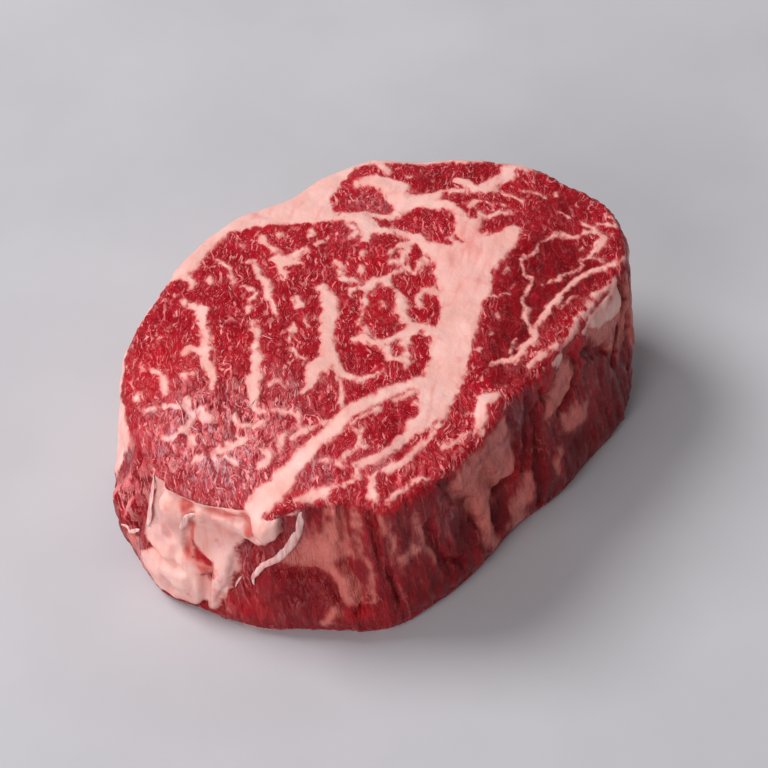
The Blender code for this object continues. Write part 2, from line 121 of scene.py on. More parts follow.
EYE_VEINS = {
    "first": [(-24.2, 34.3, 0.68), (-23.6, 31.5, 0.94), (-24.2, 29, 1.27), (-26.5, 26.5, 1.19),
        (-29.5, 23.5, 1.02), (-32, 20.5, 1.02), (-34, 18.5, 1.36), (-37, 15.8, 1.36), (-39.5, 12.5, 1.02),
        (-41, 10.8, 0.42)],
    "first's arm": [(-36.8, 23, 0.7), (-35, 22.2, 1.1), (-34, 20, 1.2)],
    "second": [(-20.5, 16.3, 0.26), (-22, 15, 0.68), (-24, 12.8, 0.77), (-28, 9.2, 1.02),
        (-31.5, 6.2, 1.27), (-35, 3.8, 1.36), (-38, 2, 1.1), (-39.6, 0.5, 0.68), (-40.4, -2, 0.51),
        (-41.5, -3.5, 0.26)],
    "third": [(-4.8, 28.5, 0.59), (-6.8, 26.5, 0.85), (-7.8, 24, 0.94), (-8.8, 21.5, 0.94), (-11, 20, 0.77),
        (-12.5, 17.8, 0.59), (-14, 15.5, 0.51), (-15.2, 14, 0.26)],
    "ring": [(-12.6, 26, 0.4), (-12.2, 23.5, 0.6), (-13, 21.6, 0.5), (-15.5, 21.1, 0.5), (-17, 20.7, 0.7),
        (-18.7, 19.3, 0.3)],
    "thin upright": [(-12.5, 29, 0.4), (-10.6, 31.2, 0.5), (-9.6, 33.5, 0.45), (-8.4, 36, 0.5),
        (-7.8, 37.3, 0.3)],
    "rim streak": [(-19.6, 35.3, 0.6), (-18, 37.5, 0.7), (-16.8, 40, 1.0)],
    "rim fleck": [(-16, 33.5, 0.3), (-14.7, 35, 0.6)],
    "fork's left arm": [(0.3, 26.3, 1.4), (0, 24.3, 1.6), (-1.6, 23, 0.9), (-3, 21.7, 0.8),
        (-4.4, 20.3, 0.5)],
    "fork's right arm": [(0.8, 23.8, 1.4), (3.5, 23.3, 1.1), (6, 23.3, 1.2), (6.8, 24, 0.5)],
    "fork's foot": [(1.2, 23, 1.0), (2.2, 21.6, 0.5)],
    "fork's stem": [(1.2, 27.5, 0.6), (1.8, 30, 0.5), (2.8, 31.8, 0.5), (3.8, 33.2, 0.9), (4.3, 34.2, 0.4)],
    "speck 1": [(-1, 35.5, 0.3), (-0.7, 36.5, 0.6)],
    "speck 2": [(6.9, 30.8, 0.3), (8, 31.7, 0.7)],
    "speck 3": [(11.3, 25.2, 0.4), (12.7, 26.4, 0.6), (13.4, 27, 0.3)],
    "speck 4": [(9, 21.4, 0.3), (10.8, 22, 0.7)],
    "speck 5": [(-3.4, 30.4, 0.5), (-4.8, 31.2, 0.3)],
    "mottle": [(16, 16, 0.4), (17.3, 17.2, 0.5), (18.6, 17.8, 0.8), (19.6, 19.8, 0.6)],
    "mottle's foot": [(20.5, 16, 1.1), (18.6, 14.1, 1.1), (17, 13, 0.4)],
    "fourth": [(-1.3, 11.5, 0.9), (-3, 8.6, 1.2), (-5.2, 6.2, 1.6), (-8.5, 4, 1.6), (-11.5, 1.8, 1.7),
        (-14, -0.5, 1.5), (-16.6, -2.6, 1.8), (-19.2, -4.6, 2.1), (-21.6, -4.9, 1.9), (-25, -5.5, 1.2),
        (-28, -6.5, 0.8), (-31, -7, 0.4)],
    "fourth's leg": [(-19.6, -6, 1.5), (-20.6, -9, 1.2), (-20.8, -12, 1.0), (-20, -14, 0.8),
        (-18.2, -15.5, 0.6), (-16, -16.2, 0.4), (-13.5, -16.2, 0.25)],
    "fourth's knee": [(-22, -9, 0.5), (-23.5, -11.5, 0.4), (-26, -13.5, 0.4), (-28.5, -15.6, 0.7)],
    "above the fourth": [(-10.3, 11, 0.3), (-8.5, 12.7, 0.7), (-7.5, 13.3, 0.3)],
    "above the fourth 2": [(-19.8, 4.8, 0.4), (-18, 6.8, 0.5), (-16, 8, 0.5), (-15.4, 8.6, 0.2)],
    "above the fourth 3": [(-14.6, 4.4, 0.25), (-13.2, 6.6, 0.3), (-12.4, 8.6, 0.2)],
    "left of the fourth": [(-21.8, 4, 0.4), (-23.2, 1.8, 0.6), (-22.8, -0.6, 0.4)],
    "net, top": [(3.3, 8.8, 1.1), (4.7, 7, 0.5), (5, 5.3, 0.5), (4.2, 3.8, 0.4), (6.3, 2.5, 1.1),
        (8, 3, 1.3), (9.5, 1.5, 0.9), (8.7, -1.5, 0.5), (8.1, -3, 0.7), (7, -4.3, 1.0), (6, -5.6, 1.3),
        (5, -7.3, 1.2), (3.4, -8.4, 1.0), (2.5, -10.2, 1.0), (1.2, -12.3, 1.3), (0, -13.3, 1.5)],
    "net, upward": [(3.5, 9, 0.9), (5, 10.6, 0.45), (6.6, 12.8, 0.5), (7.7, 14.8, 0.3)],
    "net, foot": [(0.5, -13.3, 1.6), (2, -14.3, 1.4), (2.4, -17, 1.7), (3, -19.5, 2)],
    "net, right": [(9.8, 1.8, 0.7), (12.3, 2.5, 0.5), (13.8, 1.2, 0.5), (15.7, 1, 0.6), (16.7, -0.7, 0.9),
        (16.5, -2, 0.4), (19, -2, 0.4), (20.6, -1, 0.4), (21.3, -2.3, 0.5)],
    "net, right 2": [(15.6, 4.4, 0.25), (16.5, 2.6, 0.6), (18, 2.2, 0.8), (20, 3.2, 0.7), (22, 4, 0.5),
        (23.8, 4.4, 0.5)],
    "net, right 3": [(16.8, 6.4, 0.5), (19.5, 6.2, 0.4), (22, 5.8, 0.9), (23.5, 4.8, 0.6)],
    "net, left": [(0, -13, 1.4), (-3, -12.8, 1.0), (-6, -12.2, 0.8), (-8, -11, 0.9), (-9, -9, 1.0),
        (-9.3, -7, 0.9), (-8, -6, 0.8), (-6.5, -5.5, 0.5), (-5.5, -3.8, 0.5), (-4, -3, 0.35),
        (-1.5, -1.3, 0.4), (0, -0.2, 0.7), (1.5, 1.2, 0.5), (4.3, 2.3, 0.5)],
    "net, left foot": [(-8.8, -11, 0.9), (-8.6, -13.5, 0.8), (-10, -15.5, 0.7), (-9, -17.4, 0.9),
        (-7.7, -18.6, 0.6), (-10.2, -19.6, 0.4)],
    "net, left hook": [(-9.3, -7, 0.6), (-10.2, -5.5, 0.5), (-11.8, -6, 0.4)],
    "net, low": [(-3, -14.3, 0.9), (-5, -16, 0.8), (-6.6, -17.6, 0.8)],
    "net, low right": [(8.3, -9.6, 0.4), (9.6, -8.3, 0.7), (12, -8, 0.8), (13.7, -8, 0.7), (14, -10, 1.0)],
    "net, arcs": [(0.2, 4.2, 0.3), (1.5, 5, 0.4), (3, 5, 0.5), (4.8, 4.6, 0.3)],
    "net, small": [(2.8, -3.2, 0.5), (1.8, -4.8, 0.25)],
    "speck 6": [(7, 7.5, 0.5), (8.4, 7.9, 0.8), (9.8, 8.4, 0.3)],
    "speck 7": [(12.8, 10.2, 0.4), (13.7, 10.6, 0.6)],
    "speck 8": [(-33, 0.8, 0.2), (-31.4, 0, 0.4), (-32.2, -1.8, 0.7), (-33, -3, 0.3)],
    "left arc": [(-57.5, 12, 0.3), (-55, 9.6, 0.5), (-51.6, 9, 0.55), (-48.4, 10.8, 0.5), (-46, 13.6, 0.3)],
    "left arc 2": [(-53.6, 19.6, 0.3), (-51, 17, 0.6), (-49.4, 13.8, 0.7), (-48.6, 11, 0.4)],
    "left arc 3": [(-45, 27.5, 0.3), (-44.4, 24.6, 0.55), (-45.6, 21.5, 0.6), (-47.6, 19.4, 0.35)],
    "left arc 4": [(-58.6, 2.4, 0.3), (-56, 0.6, 0.55), (-54, -2.6, 0.6), (-53.4, -6, 0.35)],
    "left arc 5": [(-43.4, 3.4, 0.3), (-45, 0.4, 0.5), (-44.6, -3, 0.55), (-42.6, -5.6, 0.3)],
    "left arc 6": [(-40, -3.6, 0.3), (-37, -6.4, 0.5), (-36.6, -10, 0.5), (-38.4, -12.4, 0.3)],
    "left spot": [(-52.6, 23.6, 0.7), (-51, 24.6, 0.3)],
    "left spot 2": [(-41, 17.6, 0.4), (-42.4, 19.2, 0.7)],
    "left wedge": [(-52.7, -0.9, 0.8), (-50.3, -2, 1.1), (-48.2, -3.5, 1.0), (-46.8, -5.2, 0.3)],
    "left patch": [(-54.5, 4.9, 0.8), (-53.8, 6.4, 1.1)],
    "left patch 2": [(-47.4, 9.6, 0.5), (-48, 7, 0.9), (-48.6, 4.8, 0.5)],
    "left hook": [(-52.5, -11.9, 0.6), (-49.5, -12, 1.2), (-47.7, -10.6, 0.9), (-48, -8.6, 0.4)],
    "left bar": [(-46.2, -12.5, 0.4), (-43.6, -11.3, 0.7), (-41.6, -11.3, 0.3)],
    "left bar 2": [(-42.5, -13.4, 0.4), (-38.6, -14, 0.6), (-36.5, -15.6, 0.3)],
    "left bar 3": [(-34.8, -16.4, 0.8), (-33.3, -16.9, 0.5)],
}

CAP_VEINS = {
    "down from the band": [(50.8, 1.5, 0.9), (52, -0.8, 0.5), (52.8, -3.5, 0.8), (52.8, -6.8, 0.7),
        (52.9, -8.2, 0.3)],
    "fan": [(42.6, 3.2, 0.4), (43, 1.8, 0.9), (45, 0.9, 0.8), (46.2, -0.8, 0.5), (47.5, -3, 0.4),
        (49.6, -5.6, 0.3)],
    "loop": [(42.2, -0.8, 0.5), (41.7, -2.3, 0.6), (43, -4.3, 0.7), (45.2, -5.2, 1.0), (46, -6.8, 0.7),
        (47.4, -6.2, 0.25)],
    "hook": [(44, -19.2, 0.3), (47, -20.2, 0.5), (48.5, -21.5, 0.5), (49.5, -24, 0.6), (51, -25.5, 0.8),
        (53.4, -26.3, 1.3), (54.1, -28.5, 1.0), (53, -30.4, 1.1), (50, -31.2, 1.0), (47, -30.8, 0.8),
        (45, -30, 0.5), (43.7, -29.8, 0.5), (42.8, -31, 0.7), (41, -31.2, 0.5), (39.5, -30, 0.4),
        (37.5, -29.1, 0.4), (35.6, -29.3, 0.8), (33.6, -28.7, 0.4), (31.5, -28.4, 0.2)],
    "hook's stem": [(54.4, -16, 0.3), (54.7, -18.5, 0.5), (54.8, -21, 0.4), (55, -23.5, 0.6),
        (55.4, -25.6, 0.9), (54.6, -27.5, 1.0)],
    "hook's tail": [(46.8, -31.3, 0.6), (47.5, -33.2, 0.5), (47.2, -34.6, 0.4)],
    "net 1": [(36.6, -19.5, 0.5), (34.5, -20.2, 0.4), (32.3, -21.8, 0.4), (31.6, -22.6, 0.4),
        (32.4, -24.1, 0.6), (31, -25.2, 0.6), (28.2, -25.9, 0.7), (25.6, -26.9, 0.4), (24, -28.3, 0.7),
        (22.8, -30, 0.6), (20.6, -31.4, 0.8), (18.9, -33.2, 0.6), (17.9, -34.9, 0.7), (16.5, -36, 0.6)],
    "net 2": [(36.6, -19.5, 0.5), (39, -20.2, 0.5), (41.5, -19.2, 0.3), (44, -19.2, 0.3), (46.5, -20, 0.4)],
    "speck 1": [(46.8, -28, 0.4), (47.8, -27.9, 0.7)],
    "speck 2": [(29.6, -18.6, 0.3), (30.6, -18.6, 0.5)],
    "speck 3": [(23, -22.2, 0.3), (24.2, -23, 0.5), (24.4, -24.3, 0.2)],
    "speck 4": [(26.2, -23.2, 0.2), (27.4, -22.6, 0.5)],
    "speck 5": [(16.3, -26.6, 0.3), (16.5, -25.6, 0.4)],
    "speck 6": [(10.6, -28.7, 0.4), (12.2, -27.6, 0.4)],
    "speck 7": [(20.8, -21, 0.6), (21.4, -22.4, 0.5)],
    "speck 8": [(5.2, -29, 0.6), (4.2, -30.2, 0.2)],
    "thin fold": [(8.3, -35.6, 0.3), (10.5, -34.7, 0.4), (12.8, -33.7, 0.3)],
    "mottle": [(57.5, -25.5, 0.5), (59, -27.3, 0.6), (59.8, -29, 0.5), (61, -28, 0.6), (61, -25.5, 0.5)],
    "right side": [(59.5, -12.5, 0.6), (60.4, -11.5, 0.5)],
    "right side 2": [(55.7, -5, 0.3), (56.5, -8, 0.3), (57, -11.5, 0.4)],
    "pocket": [(43, 21.6, 0.4), (42.7, 19.9, 0.6), (43, 18.4, 0.3)],
    "pocket 2": [(45, 16.3, 0.3), (45.6, 15.3, 0.5)],
    "thin seam": [(6.5, -38.2, 0.35), (11, -38.2, 0.3), (15, -38.3, 0.4)],
    "lens seam": [(27.6, -35.8, 0.3), (30, -36.3, 0.5), (32.8, -36.6, 0.3)],
}

SMALL_MUSCLE_VEINS = {
    "upright": [(-43.5, -22.5, 0.3), (-42.6, -24.3, 0.52), (-42, -26, 0.38), (-40.8, -28, 0.3),
        (-39.2, -29.8, 0.38)],
    "cross": [(-41, -25.9, 0.22), (-38.5, -25.7, 0.38), (-35.8, -26, 0.38), (-33, -25.4, 0.3),
        (-31, -24.8, 0.22)],
    "knot": [(-33.2, -22.4, 0.22), (-33.1, -24.3, 0.6)],
    "knot 2": [(-26.2, -22.5, 0.5), (-24.9, -23.2, 0.8)],
    "speck": [(-36, -27.3, 0.5), (-35, -27.6, 0.3)],
    "right end": [(-20, -24, 0.2), (-17, -25.3, 0.48), (-15.3, -26, 0.72)],
    "notch": [(-17.5, -27.5, 0.3), (-16.8, -28.7, 0.6)],
    "upper thin": [(-31.5, -21.8, 0.25), (-29, -22.1, 0.3), (-26.5, -22.3, 0.3)],
}

RELIEF_ON_FACE = (
    # (x, y, radius, height) of broad swellings and hollows that the cut face shows
    (2, -40, 3.2, -1.3), (-8, -40.5, 3.5, 0.9), (-48, -21.5, 2.0, -0.7), (-56, 8, 5, 0.5),
    (-50, -8, 4, 0.5), (-33, -26, 6, 0.4), (27, -37.5, 6, 0.5), (25, -9, 9, 0.35), (8, -11, 5, -0.25),
    (15, 0, 5, 0.3), (-14, -10, 5, 0.3), (40, -26, 9, -0.5),
)

DEEP_RED_AND_SHADE = (
    # (x, y, radius, amount): where the lean is darker: the cap muscle's deeper red, and painted shade in the
    # hollow by the near edge
    (38, -27, 13, 0.9), (22, -30, 9, 0.75), (9, -33, 7, 0.6), (2, -39, 5, 0.9), (46, 15, 9, 0.45),
    (57, -14, 9, 0.5), (15, -2, 6, 0.3), (-17, -10, 5, 0.35), (15, 22, 6, 0.3), (-3, 2, 7, 0.35),
    (55, 6, 5, 0.35), (-30, -28, 8, 0.2),
)

COARSE_LEAN = (
    # (x, y, radius, amount): where the cut is torn into coarse strands with pale fibres between them
    (-54, 4, 11, 1.0), (-48, -8, 8, 0.9), (-40, 2, 7, 0.6), (-44, 12, 7, 0.55), (-35, -10, 7, 0.45),
    (-26, 6, 5, 0.3), (-28, -12, 5, 0.3), (29, 21, 4, 0.5), (18, 18, 3, 0.5), (-34, -41, 4, 0.6),
    (-20, -43, 4, 0.6), (-2, -44, 4, 0.5), (20, -43, 4, 0.5), (34, -42, 4, 0.5), (47, -40, 4, 0.5),
)

FRESH_RED = (
    # (x, y, radius, amount): where the lean is brighter
    (-46, 22, 6, 0.9), (-58, 14, 4, 1.0), (-38, 27, 5, 0.6), (-30, 14, 6, 0.35), (8, 34, 7, 0.4),
    (0, -3, 5, 0.5), (14, -8, 5, 0.6), (10, 8, 5, 0.5), (32, 23, 5, 0.3), (-42, -4, 5, 0.35),
    (27, -38, 5, 0.5),
)

SMOOTH_SEAMS = (
    # (x, y, radius, amount): where the fat's edge is even, with few lobes of lean biting into it
    (-48, -18, 8, 0.7), (-34, -19, 8, 0.7), (-20, -22, 7, 0.6), (28, -10, 10, 0.35), (0, 46, 10, 0.6),
    (-14, 43, 8, 0.6),
)

LOOSE_FIBRES = (
    # (x, y, spread, how many)
    (-50, 2, 6.5, 12), (-44, 12, 6, 6), (-36, -6, 6, 5), (-24, 14, 8, 2), (52, -30, 4, 2),
)

PINK_FAT = (
    # (x, y, radius, amount): where fat on the face is pinker
    (30, -8, 8, 0.9), (36, -4, 5, 0.6), (20, -15, 6, 0.4), (-10, 44, 6, 0.3), (55, 2, 6, 0.4),
    (-30, -33, 6, 0.4), (10, 45, 7, 0.3), (14, -37, 10, 0.6), (-30, -42, 10, 0.6),
)

LILAC_FILM = (
    # (x, y, radius, amount): where a thin pinkish grey film lies on the lean
    (-56, 9, 8, 0.8), (-58, -5, 6, 0.8), (-54, -9, 6, 0.6), (-49, 15, 6, 0.5), (-44, 5, 6, 0.45),
    (-33, -3, 6, 0.5), (-47, -22.5, 4.5, 0.75), (-53, 0, 7, 0.6), (-40, -8, 7, 0.3), (-37, -31.5, 4, 0.5),
    (19, 17.5, 4, 0.5), (29, 20.5, 5, 0.45),
)

# --------------------------------------------------------------------------------------------------
# The side: (s, x, y) round the edge, then strokes in (s, z, half width)
# --------------------------------------------------------------------------------------------------

EDGE_WALK = (
    (0, -66, -4.1), (25.4, -53.6, -24.8), (50.9, -39.2, -43.4), (74.5, -15.7, -45.4), (98.8, 8.4, -48.1),
    (122.9, 32.2, -45.2), (149.1, 56.4, -38), (176.3, 68.7, -15.2), (200.8, 62.1, 8.1), (225.4, 47.6, 27.4),
    (250.7, 27.2, 40.8), (274.5, 4.6, 47.7), (300, -20.1, 45), (324.7, -43.5, 39), (350.9, -62.6, 21.5),
)
EDGE_LENGTH = 377.8

SIDE_FAT = {
    "upper mass": [(-6.6, 31, 7.4), (0, 31.4, 8.0), (5.6, 31.6, 8.0)],
    "middle mass": [(-6, 22, 6.0), (0, 21.5, 6.4), (3.6, 22, 6.0)],
    "top strip": [(-14, 38, 1.8), (-8, 37.8, 2.6), (-2, 38, 2.4), (8, 38, 2.6), (14, 39.8, 1.6),
        (24, 40, 1.2)],
    "membrane": [(-13.2, 41, 1.2), (-12.8, 34, 2.0), (-12, 26, 2.6), (-12.4, 20, 2.6)],
    "lower sheet": [(-13, 8, 5.2), (-6, 10, 7.4), (0, 8.5, 5.0)],
    "middle sheet": [(-12, 17.6, 3.0), (-8, 18.6, 3.2), (-5, 16.4, 2.6)],
    "lilac patch": [(5.5, 23.4, 2.8), (7.6, 20, 2.4), (6.8, 15, 2.4), (4.8, 9.6, 2.2), (3.6, 5, 1.6)],
    "round lump": [(16.6, 36, 4.8), (15.6, 32.6, 3.0), (13.4, 29.6, 2.2)],
    "notch": [(104.5, 43.2, 0.9), (106.5, 42.4, 1.5)],
    "triangle's rim": [(117.5, 43.2, 0.8), (124.5, 43.4, 1.1), (133, 43.4, 1.4)],
    "triangle": [(122, 41.6, 1.2), (127.4, 40, 2.4), (132, 38.6, 3.0), (134.2, 40.6, 2.2)],
    "far cover's top": [(196, 42, 0.8), (206, 40, 2.6), (218, 37, 6.0)],
    "far cover's middle": [(203, 28, 0.6), (211, 26, 2.6), (219, 25, 6.0)],
    "far cover's foot": [(206, 7, 0.6), (214, 9, 2.4), (224, 12, 7.0)],
    "far cover": [(227, 22, 13), (238, 23, 19), (256, 21, 22), (276, 23, 21), (296, 21, 23), (318, 23, 20),
        (334, 27, 12)],
    "far cover's end": [(342, 33, 6.5), (349, 36, 3.0)],
}

SIDE_TAN = {
    # Thin tan fat and skin, which fades into the lean about it
    "tan field": [(23.5, 25.5, 2.6), (28.5, 25.5, 6.0), (32, 31, 3.6), (32.4, 38, 1.7)],
    "tan field's tail": [(32.5, 20, 3.0), (35, 15.5, 1.9), (36.6, 12.6, 1.2)],
    "pale foot": [(30.4, 5.4, 1.0), (33, 7.6, 1.2)],
    "pale line": [(44.2, 40, 0.2), (45.4, 33, 0.5), (47.6, 26.5, 0.6), (50, 22, 0.3)],
    "pale line 2": [(37.2, 41, 0.3), (37.6, 36, 0.6), (38.6, 30, 0.5), (40.5, 22, 0.4), (42, 13, 0.3)],
    "pale line 3": [(52, 38, 0.2), (54.4, 31, 0.5), (56.5, 24, 0.5), (59, 15, 0.3)],
    "pale patch": [(50.5, 24.6, 1.4), (54.5, 23.4, 1.0)],
    "tan band": [(65.5, 40, 2.4), (68.5, 36, 4.4), (74, 32, 6.6), (80, 29, 7.6), (83.6, 25.4, 4.8)],
    "tan band's top": [(72, 40.4, 2.2), (82, 40, 3.0)],
    "tan band's foot": [(76, 21, 3.0), (77.5, 14.5, 2.2), (79, 8, 1.9), (80, 2, 1.7)],
    "low pink": [(91.8, 16.5, 1.4), (89.8, 11, 2.8), (88.8, 5, 2.8), (92, 1, 2.4)],
    "right patch": [(101.6, 30.5, 1.2), (106.5, 32.5, 4.8), (109, 36, 3.0), (110, 31, 2.6)],
    "right patch's foot": [(102.8, 17, 0.9), (101.8, 12, 0.8)],
    "mottled patch": [(108.6, 21.6, 2.4), (112.5, 20.5, 3.4), (117, 20.6, 1.6)],
    "fat triangle": [(120.5, 41.6, 1.8), (125.5, 38.6, 4.2), (130, 36, 5.8), (133.2, 38.5, 3.8)],
    "fat triangle's foot": [(131.4, 30, 2.8), (133.4, 26, 1.0)],
    "rib": [(140.8, 43, 0.8), (140.6, 35, 1.1), (139.4, 28, 0.9), (136.4, 21, 0.5)],
    "silver field": [(145.4, 38, 2.4), (145, 22, 2.6), (146, 11, 2.4)],
    "silver field 2": [(153.6, 40, 2.6), (153.6, 31, 2.4), (151.6, 20, 3)],
    "right corner": [(164, 14, 3), (163, 5, 2.6)],
    "cap skin": [(172, 30, 2.2), (171, 18, 3.2), (174, 6, 2.4)],
    "cap skin 2": [(189, 40, 1.8), (190, 28, 2.6), (188, 14, 2.2)],
    "cap skin 3": [(204, 36, 3.0), (206, 22, 4.2), (203, 8, 3.0)],
    "under the knob": [(-21, 9, 3.0), (-18, 4, 2.6)],
    "knob's ridge": [(-30, 37, 2.2), (-24, 37.8, 1.6)],
    "left skin": [(-40, 12, 3.0), (-42, 24, 3.0)],
}

SIDE_LEAN = {
    # Red laid over the fat of the side
    "pad's foot": [(-3.4, 22.4, 0.1), (-1.6, 20.2, 0.5), (1.2, 18.4, 0.9), (3.2, 17.6, 0.5)],
    "lump's right": [(21.6, 39.6, 0.3), (22.4, 36.6, 0.5), (21.8, 34, 0.5), (19.6, 31.6, 0.6)],
    "sheet's nick": [(-6.9, 8.4, 0.2), (-6.6, 6.6, 0.45)],
    "far blood": [(222, 3, 0.8), (234, 2, 1.4), (246, 3, 0.6)],
    "far blood 2": [(322, 4, 0.8), (332, 6, 1.6), (342, 7, 1.2)],
}

SIDE_PINK = (
    # (s, z, radius in s, radius in z, amount): where fat on the side is pink or blood-stained
    (6.5, 29, 4.5, 4.5, 0.75), (-3.2, 34.6, 1.9, 2.2, 1.3), (-2.6, 26.5, 1.0, 5, 1.1),
    (-7, 27, 2.0, 6, 0.5), (7, 35.2, 6.0, 1.1, 1.1), (-1.6, 20, 2.6, 2.4, 1.3), (2.4, 17.6, 2.6, 2.0, 1.3),
    (11.8, 37.6, 0.9, 1.8, 1.4), (13, 33, 0.9, 3.4, 0.9), (17, 31.4, 4, 1.8, 0.8),
    (21.6, 36.6, 1.0, 3, 1.2), (2, 13, 2.0, 4.5, 0.6), (-12, 2, 9, 2.2, 0.9), (-16, 9, 3, 3, 0.5),
    (-9, 14.5, 4, 1.4, 0.5), (129, 35, 7, 4, 0.35), (243, 34, 1.8, 5, 0.95), (279, 17, 8, 1.4, 0.9),
    (309, 34, 7, 1.2, 0.9), (258, 29, 1.1, 8, 0.8), (325, 10, 12, 2.0, 0.8), (232, 9, 12, 2.0, 0.8),
    (268, 41, 12, 1.2, 0.7), (292, 12, 1.4, 7, 0.7), (300, 27, 16, 7, 0.35), (250, 20, 16, 8, 0.4),
    (336, 28, 6, 10, 0.5), (275, 36, 14, 4, 0.4), (262, 8, 20, 3, 0.6),
)

SIDE_TORN = (
    # (s, z, radius in s, radius in z, amount): ragged fresh lean, as coarse as the torn part of the face
    (-17.5, 35, 3.0, 3.0, 1.8), (-19.5, 29, 3.8, 4.0, 2.2), (-23.5, 22, 4.2, 4.2, 2.2),
    (-23, 14.5, 3.0, 2.6, 1.4), (-28, 18, 3.0, 3.0, 1.2), (15, 25, 2.0, 5, 0.7), (12, 16, 2.0, 6, 0.7),
    (8, 7, 3.0, 3, 0.6), (24, 12, 8, 6, 0.4),
)

SIDE_FILM = (
    # (s, z, radius in s, radius in z, amount): lilac white film
    (-12.8, 33, 2.4, 8.0, 1.0), (-12, 25, 3.4, 4.5, 1.1), (-9.5, 20, 3.6, 2.6, 0.6),
    (5.8, 22, 2.8, 3.2, 1.0), (7.6, 17, 1.6, 4.0, 0.7), (-1.5, 38.4, 8.0, 1.2, 0.4),
    (24.3, 35, 1.8, 5.0, 0.9), (-21, 12.4, 3.0, 1.2, 0.8), (-14, 13, 3.0, 4.0, 0.5),
    (144.5, 25, 2.5, 16, 0.9), (153.5, 34, 2.5, 9, 0.8), (83, 36, 3.0, 5.0, 0.35), (52, 24, 3.5, 2.4, 0.4),
    (66, 24, 3.0, 4, 0.5), (128, 20, 3, 3, 0.4), (270, 30, 16, 9, 0.3), (11.5, 21, 1.3, 5, 0.6),
    (352, 30, 6, 8, 0.4), (90, 36, 4, 6, 0.3),
)

SIDE_DARK_AND_SHADE = (
    # (s, z, radius in s, radius in z, amount): painted shade in the hollows and folds of the side and along
    # its foot, and darker lean
    (25, 11, 9.0, 6.0, 0.75), (28.3, 39, 2.4, 3.2, 0.7), (71, 17, 4.0, 7.5, 1.0), (83, 13, 3.0, 7.0, 1.0),
    (96.5, 12, 2.2, 11.0, 0.8), (112, 12, 6.0, 4.5, 1.0), (120, 34, 3.0, 5.5, 0.8),
    (131, 16, 7.0, 6.0, 0.9), (92, 33, 5.0, 8.0, 0.75), (62, 39, 2.0, 5.0, 0.7), (60, 8, 8.0, 7.0, 0.6),
    (137, 30, 1.5, 12.0, 0.7), (105, 5, 12.0, 5.0, 0.6), (130, 5, 14.0, 5.0, 0.7), (50, 34, 6.0, 9.0, 0.45),
    (170, 20, 9.0, 14.0, 0.6),
)

SIDE_BRIGHT_AND_LIGHT = (
    # (s, z, radius in s, radius in z, amount): fresher, brighter red in places, and painted light along the
    # top of the wall and on the torn knob at the fat end
    (101, 39.5, 4.0, 3.2, 0.9), (113, 41, 3.5, 3.5, 0.8), (-20, 27, 5.0, 9.0, 0.5), (12, 8, 5.0, 4.0, 0.6),
    (89, 22, 1.2, 5.0, 0.8), (137, 43, 1.6, 2.0, 1.0), (46, 41.5, 3.0, 1.8, 0.9), (70, 42.6, 7, 1.4, 0.7),
    (163, 36, 5, 8, 0.5), (40, 8, 5.0, 3.0, 0.5), (0.5, 18.8, 3.6, 1.8, 1.0), (38, 42, 3, 1.6, 0.5),
    (24, 20, 5, 2, 0.4), (117.5, 36, 1.6, 3.4, 0.6), (-8, 0.5, 12, 1.5, 0.7), (58, 42.6, 5, 1.2, 0.4),
)

SIDE_LUMPS = (
    # (s, z, radius in s, radius in z, height): swellings, and hollows below zero
    (17.4, 35.6, 3.6, 3.8, 1.5), (-8, 29, 3.6, 6.0, 0.8), (-1, 37.8, 9.0, 1.7, 1.5),
    (5, 29, 4.5, 4.5, -0.9), (-20, 31, 4.6, 5.5, 1.2), (-25, 21, 4.4, 4.6, 1.1), (-27, 36, 3.5, 3.5, 0.4),
    (6.8, 17, 2.2, 6.0, 0.7), (-18.4, 34, 1.7, 1.5, 0.8), (-21.6, 29.6, 1.8, 1.6, 0.9),
    (-17.4, 27.4, 1.4, 1.6, 0.7), (-24.6, 24.6, 1.7, 1.6, 0.9), (-20.4, 22, 1.5, 1.6, 0.8),
    (-26.6, 19.6, 1.6, 1.5, 0.8), (-22.6, 16.8, 1.6, 1.4, 0.9), (-6, 10, 7.0, 5.0, 0.8),
    (29, 25, 5.0, 6.0, 0.6), (14, 21, 2.6, 9.0, -1.0), (83, 13, 2.6, 6.5, -1.0), (71, 17, 3.2, 7.0, -0.8),
    (77, 29, 8.0, 8.0, 0.6), (112, 13, 5.0, 4.0, -0.7), (119, 34, 2.2, 5.0, -0.8), (106, 32, 4.0, 4.0, 0.5),
    (128, 37, 7.0, 6.0, 0.6), (138, 32, 1.4, 11.0, -0.7), (140.6, 34, 1.2, 9.0, 0.6),
    (92, 33, 3.0, 8.0, -0.4), (101, 40, 3.5, 2.6, 0.7), (46, 41.4, 3, 1.6, 0.5), (28, 38.6, 2.0, 2.4, -0.7),
    (243, 34, 4.0, 5.0, -0.4), (309, 33, 5.0, 4.0, -0.4), (276, 18, 7.0, 4.0, -0.4),
    (290, 34, 9.0, 6.0, 0.5), (258, 22, 6.0, 8.0, 0.4), (330, 24, 6.0, 9.0, 0.6), (23, 12, 8, 6, 0.5),
)

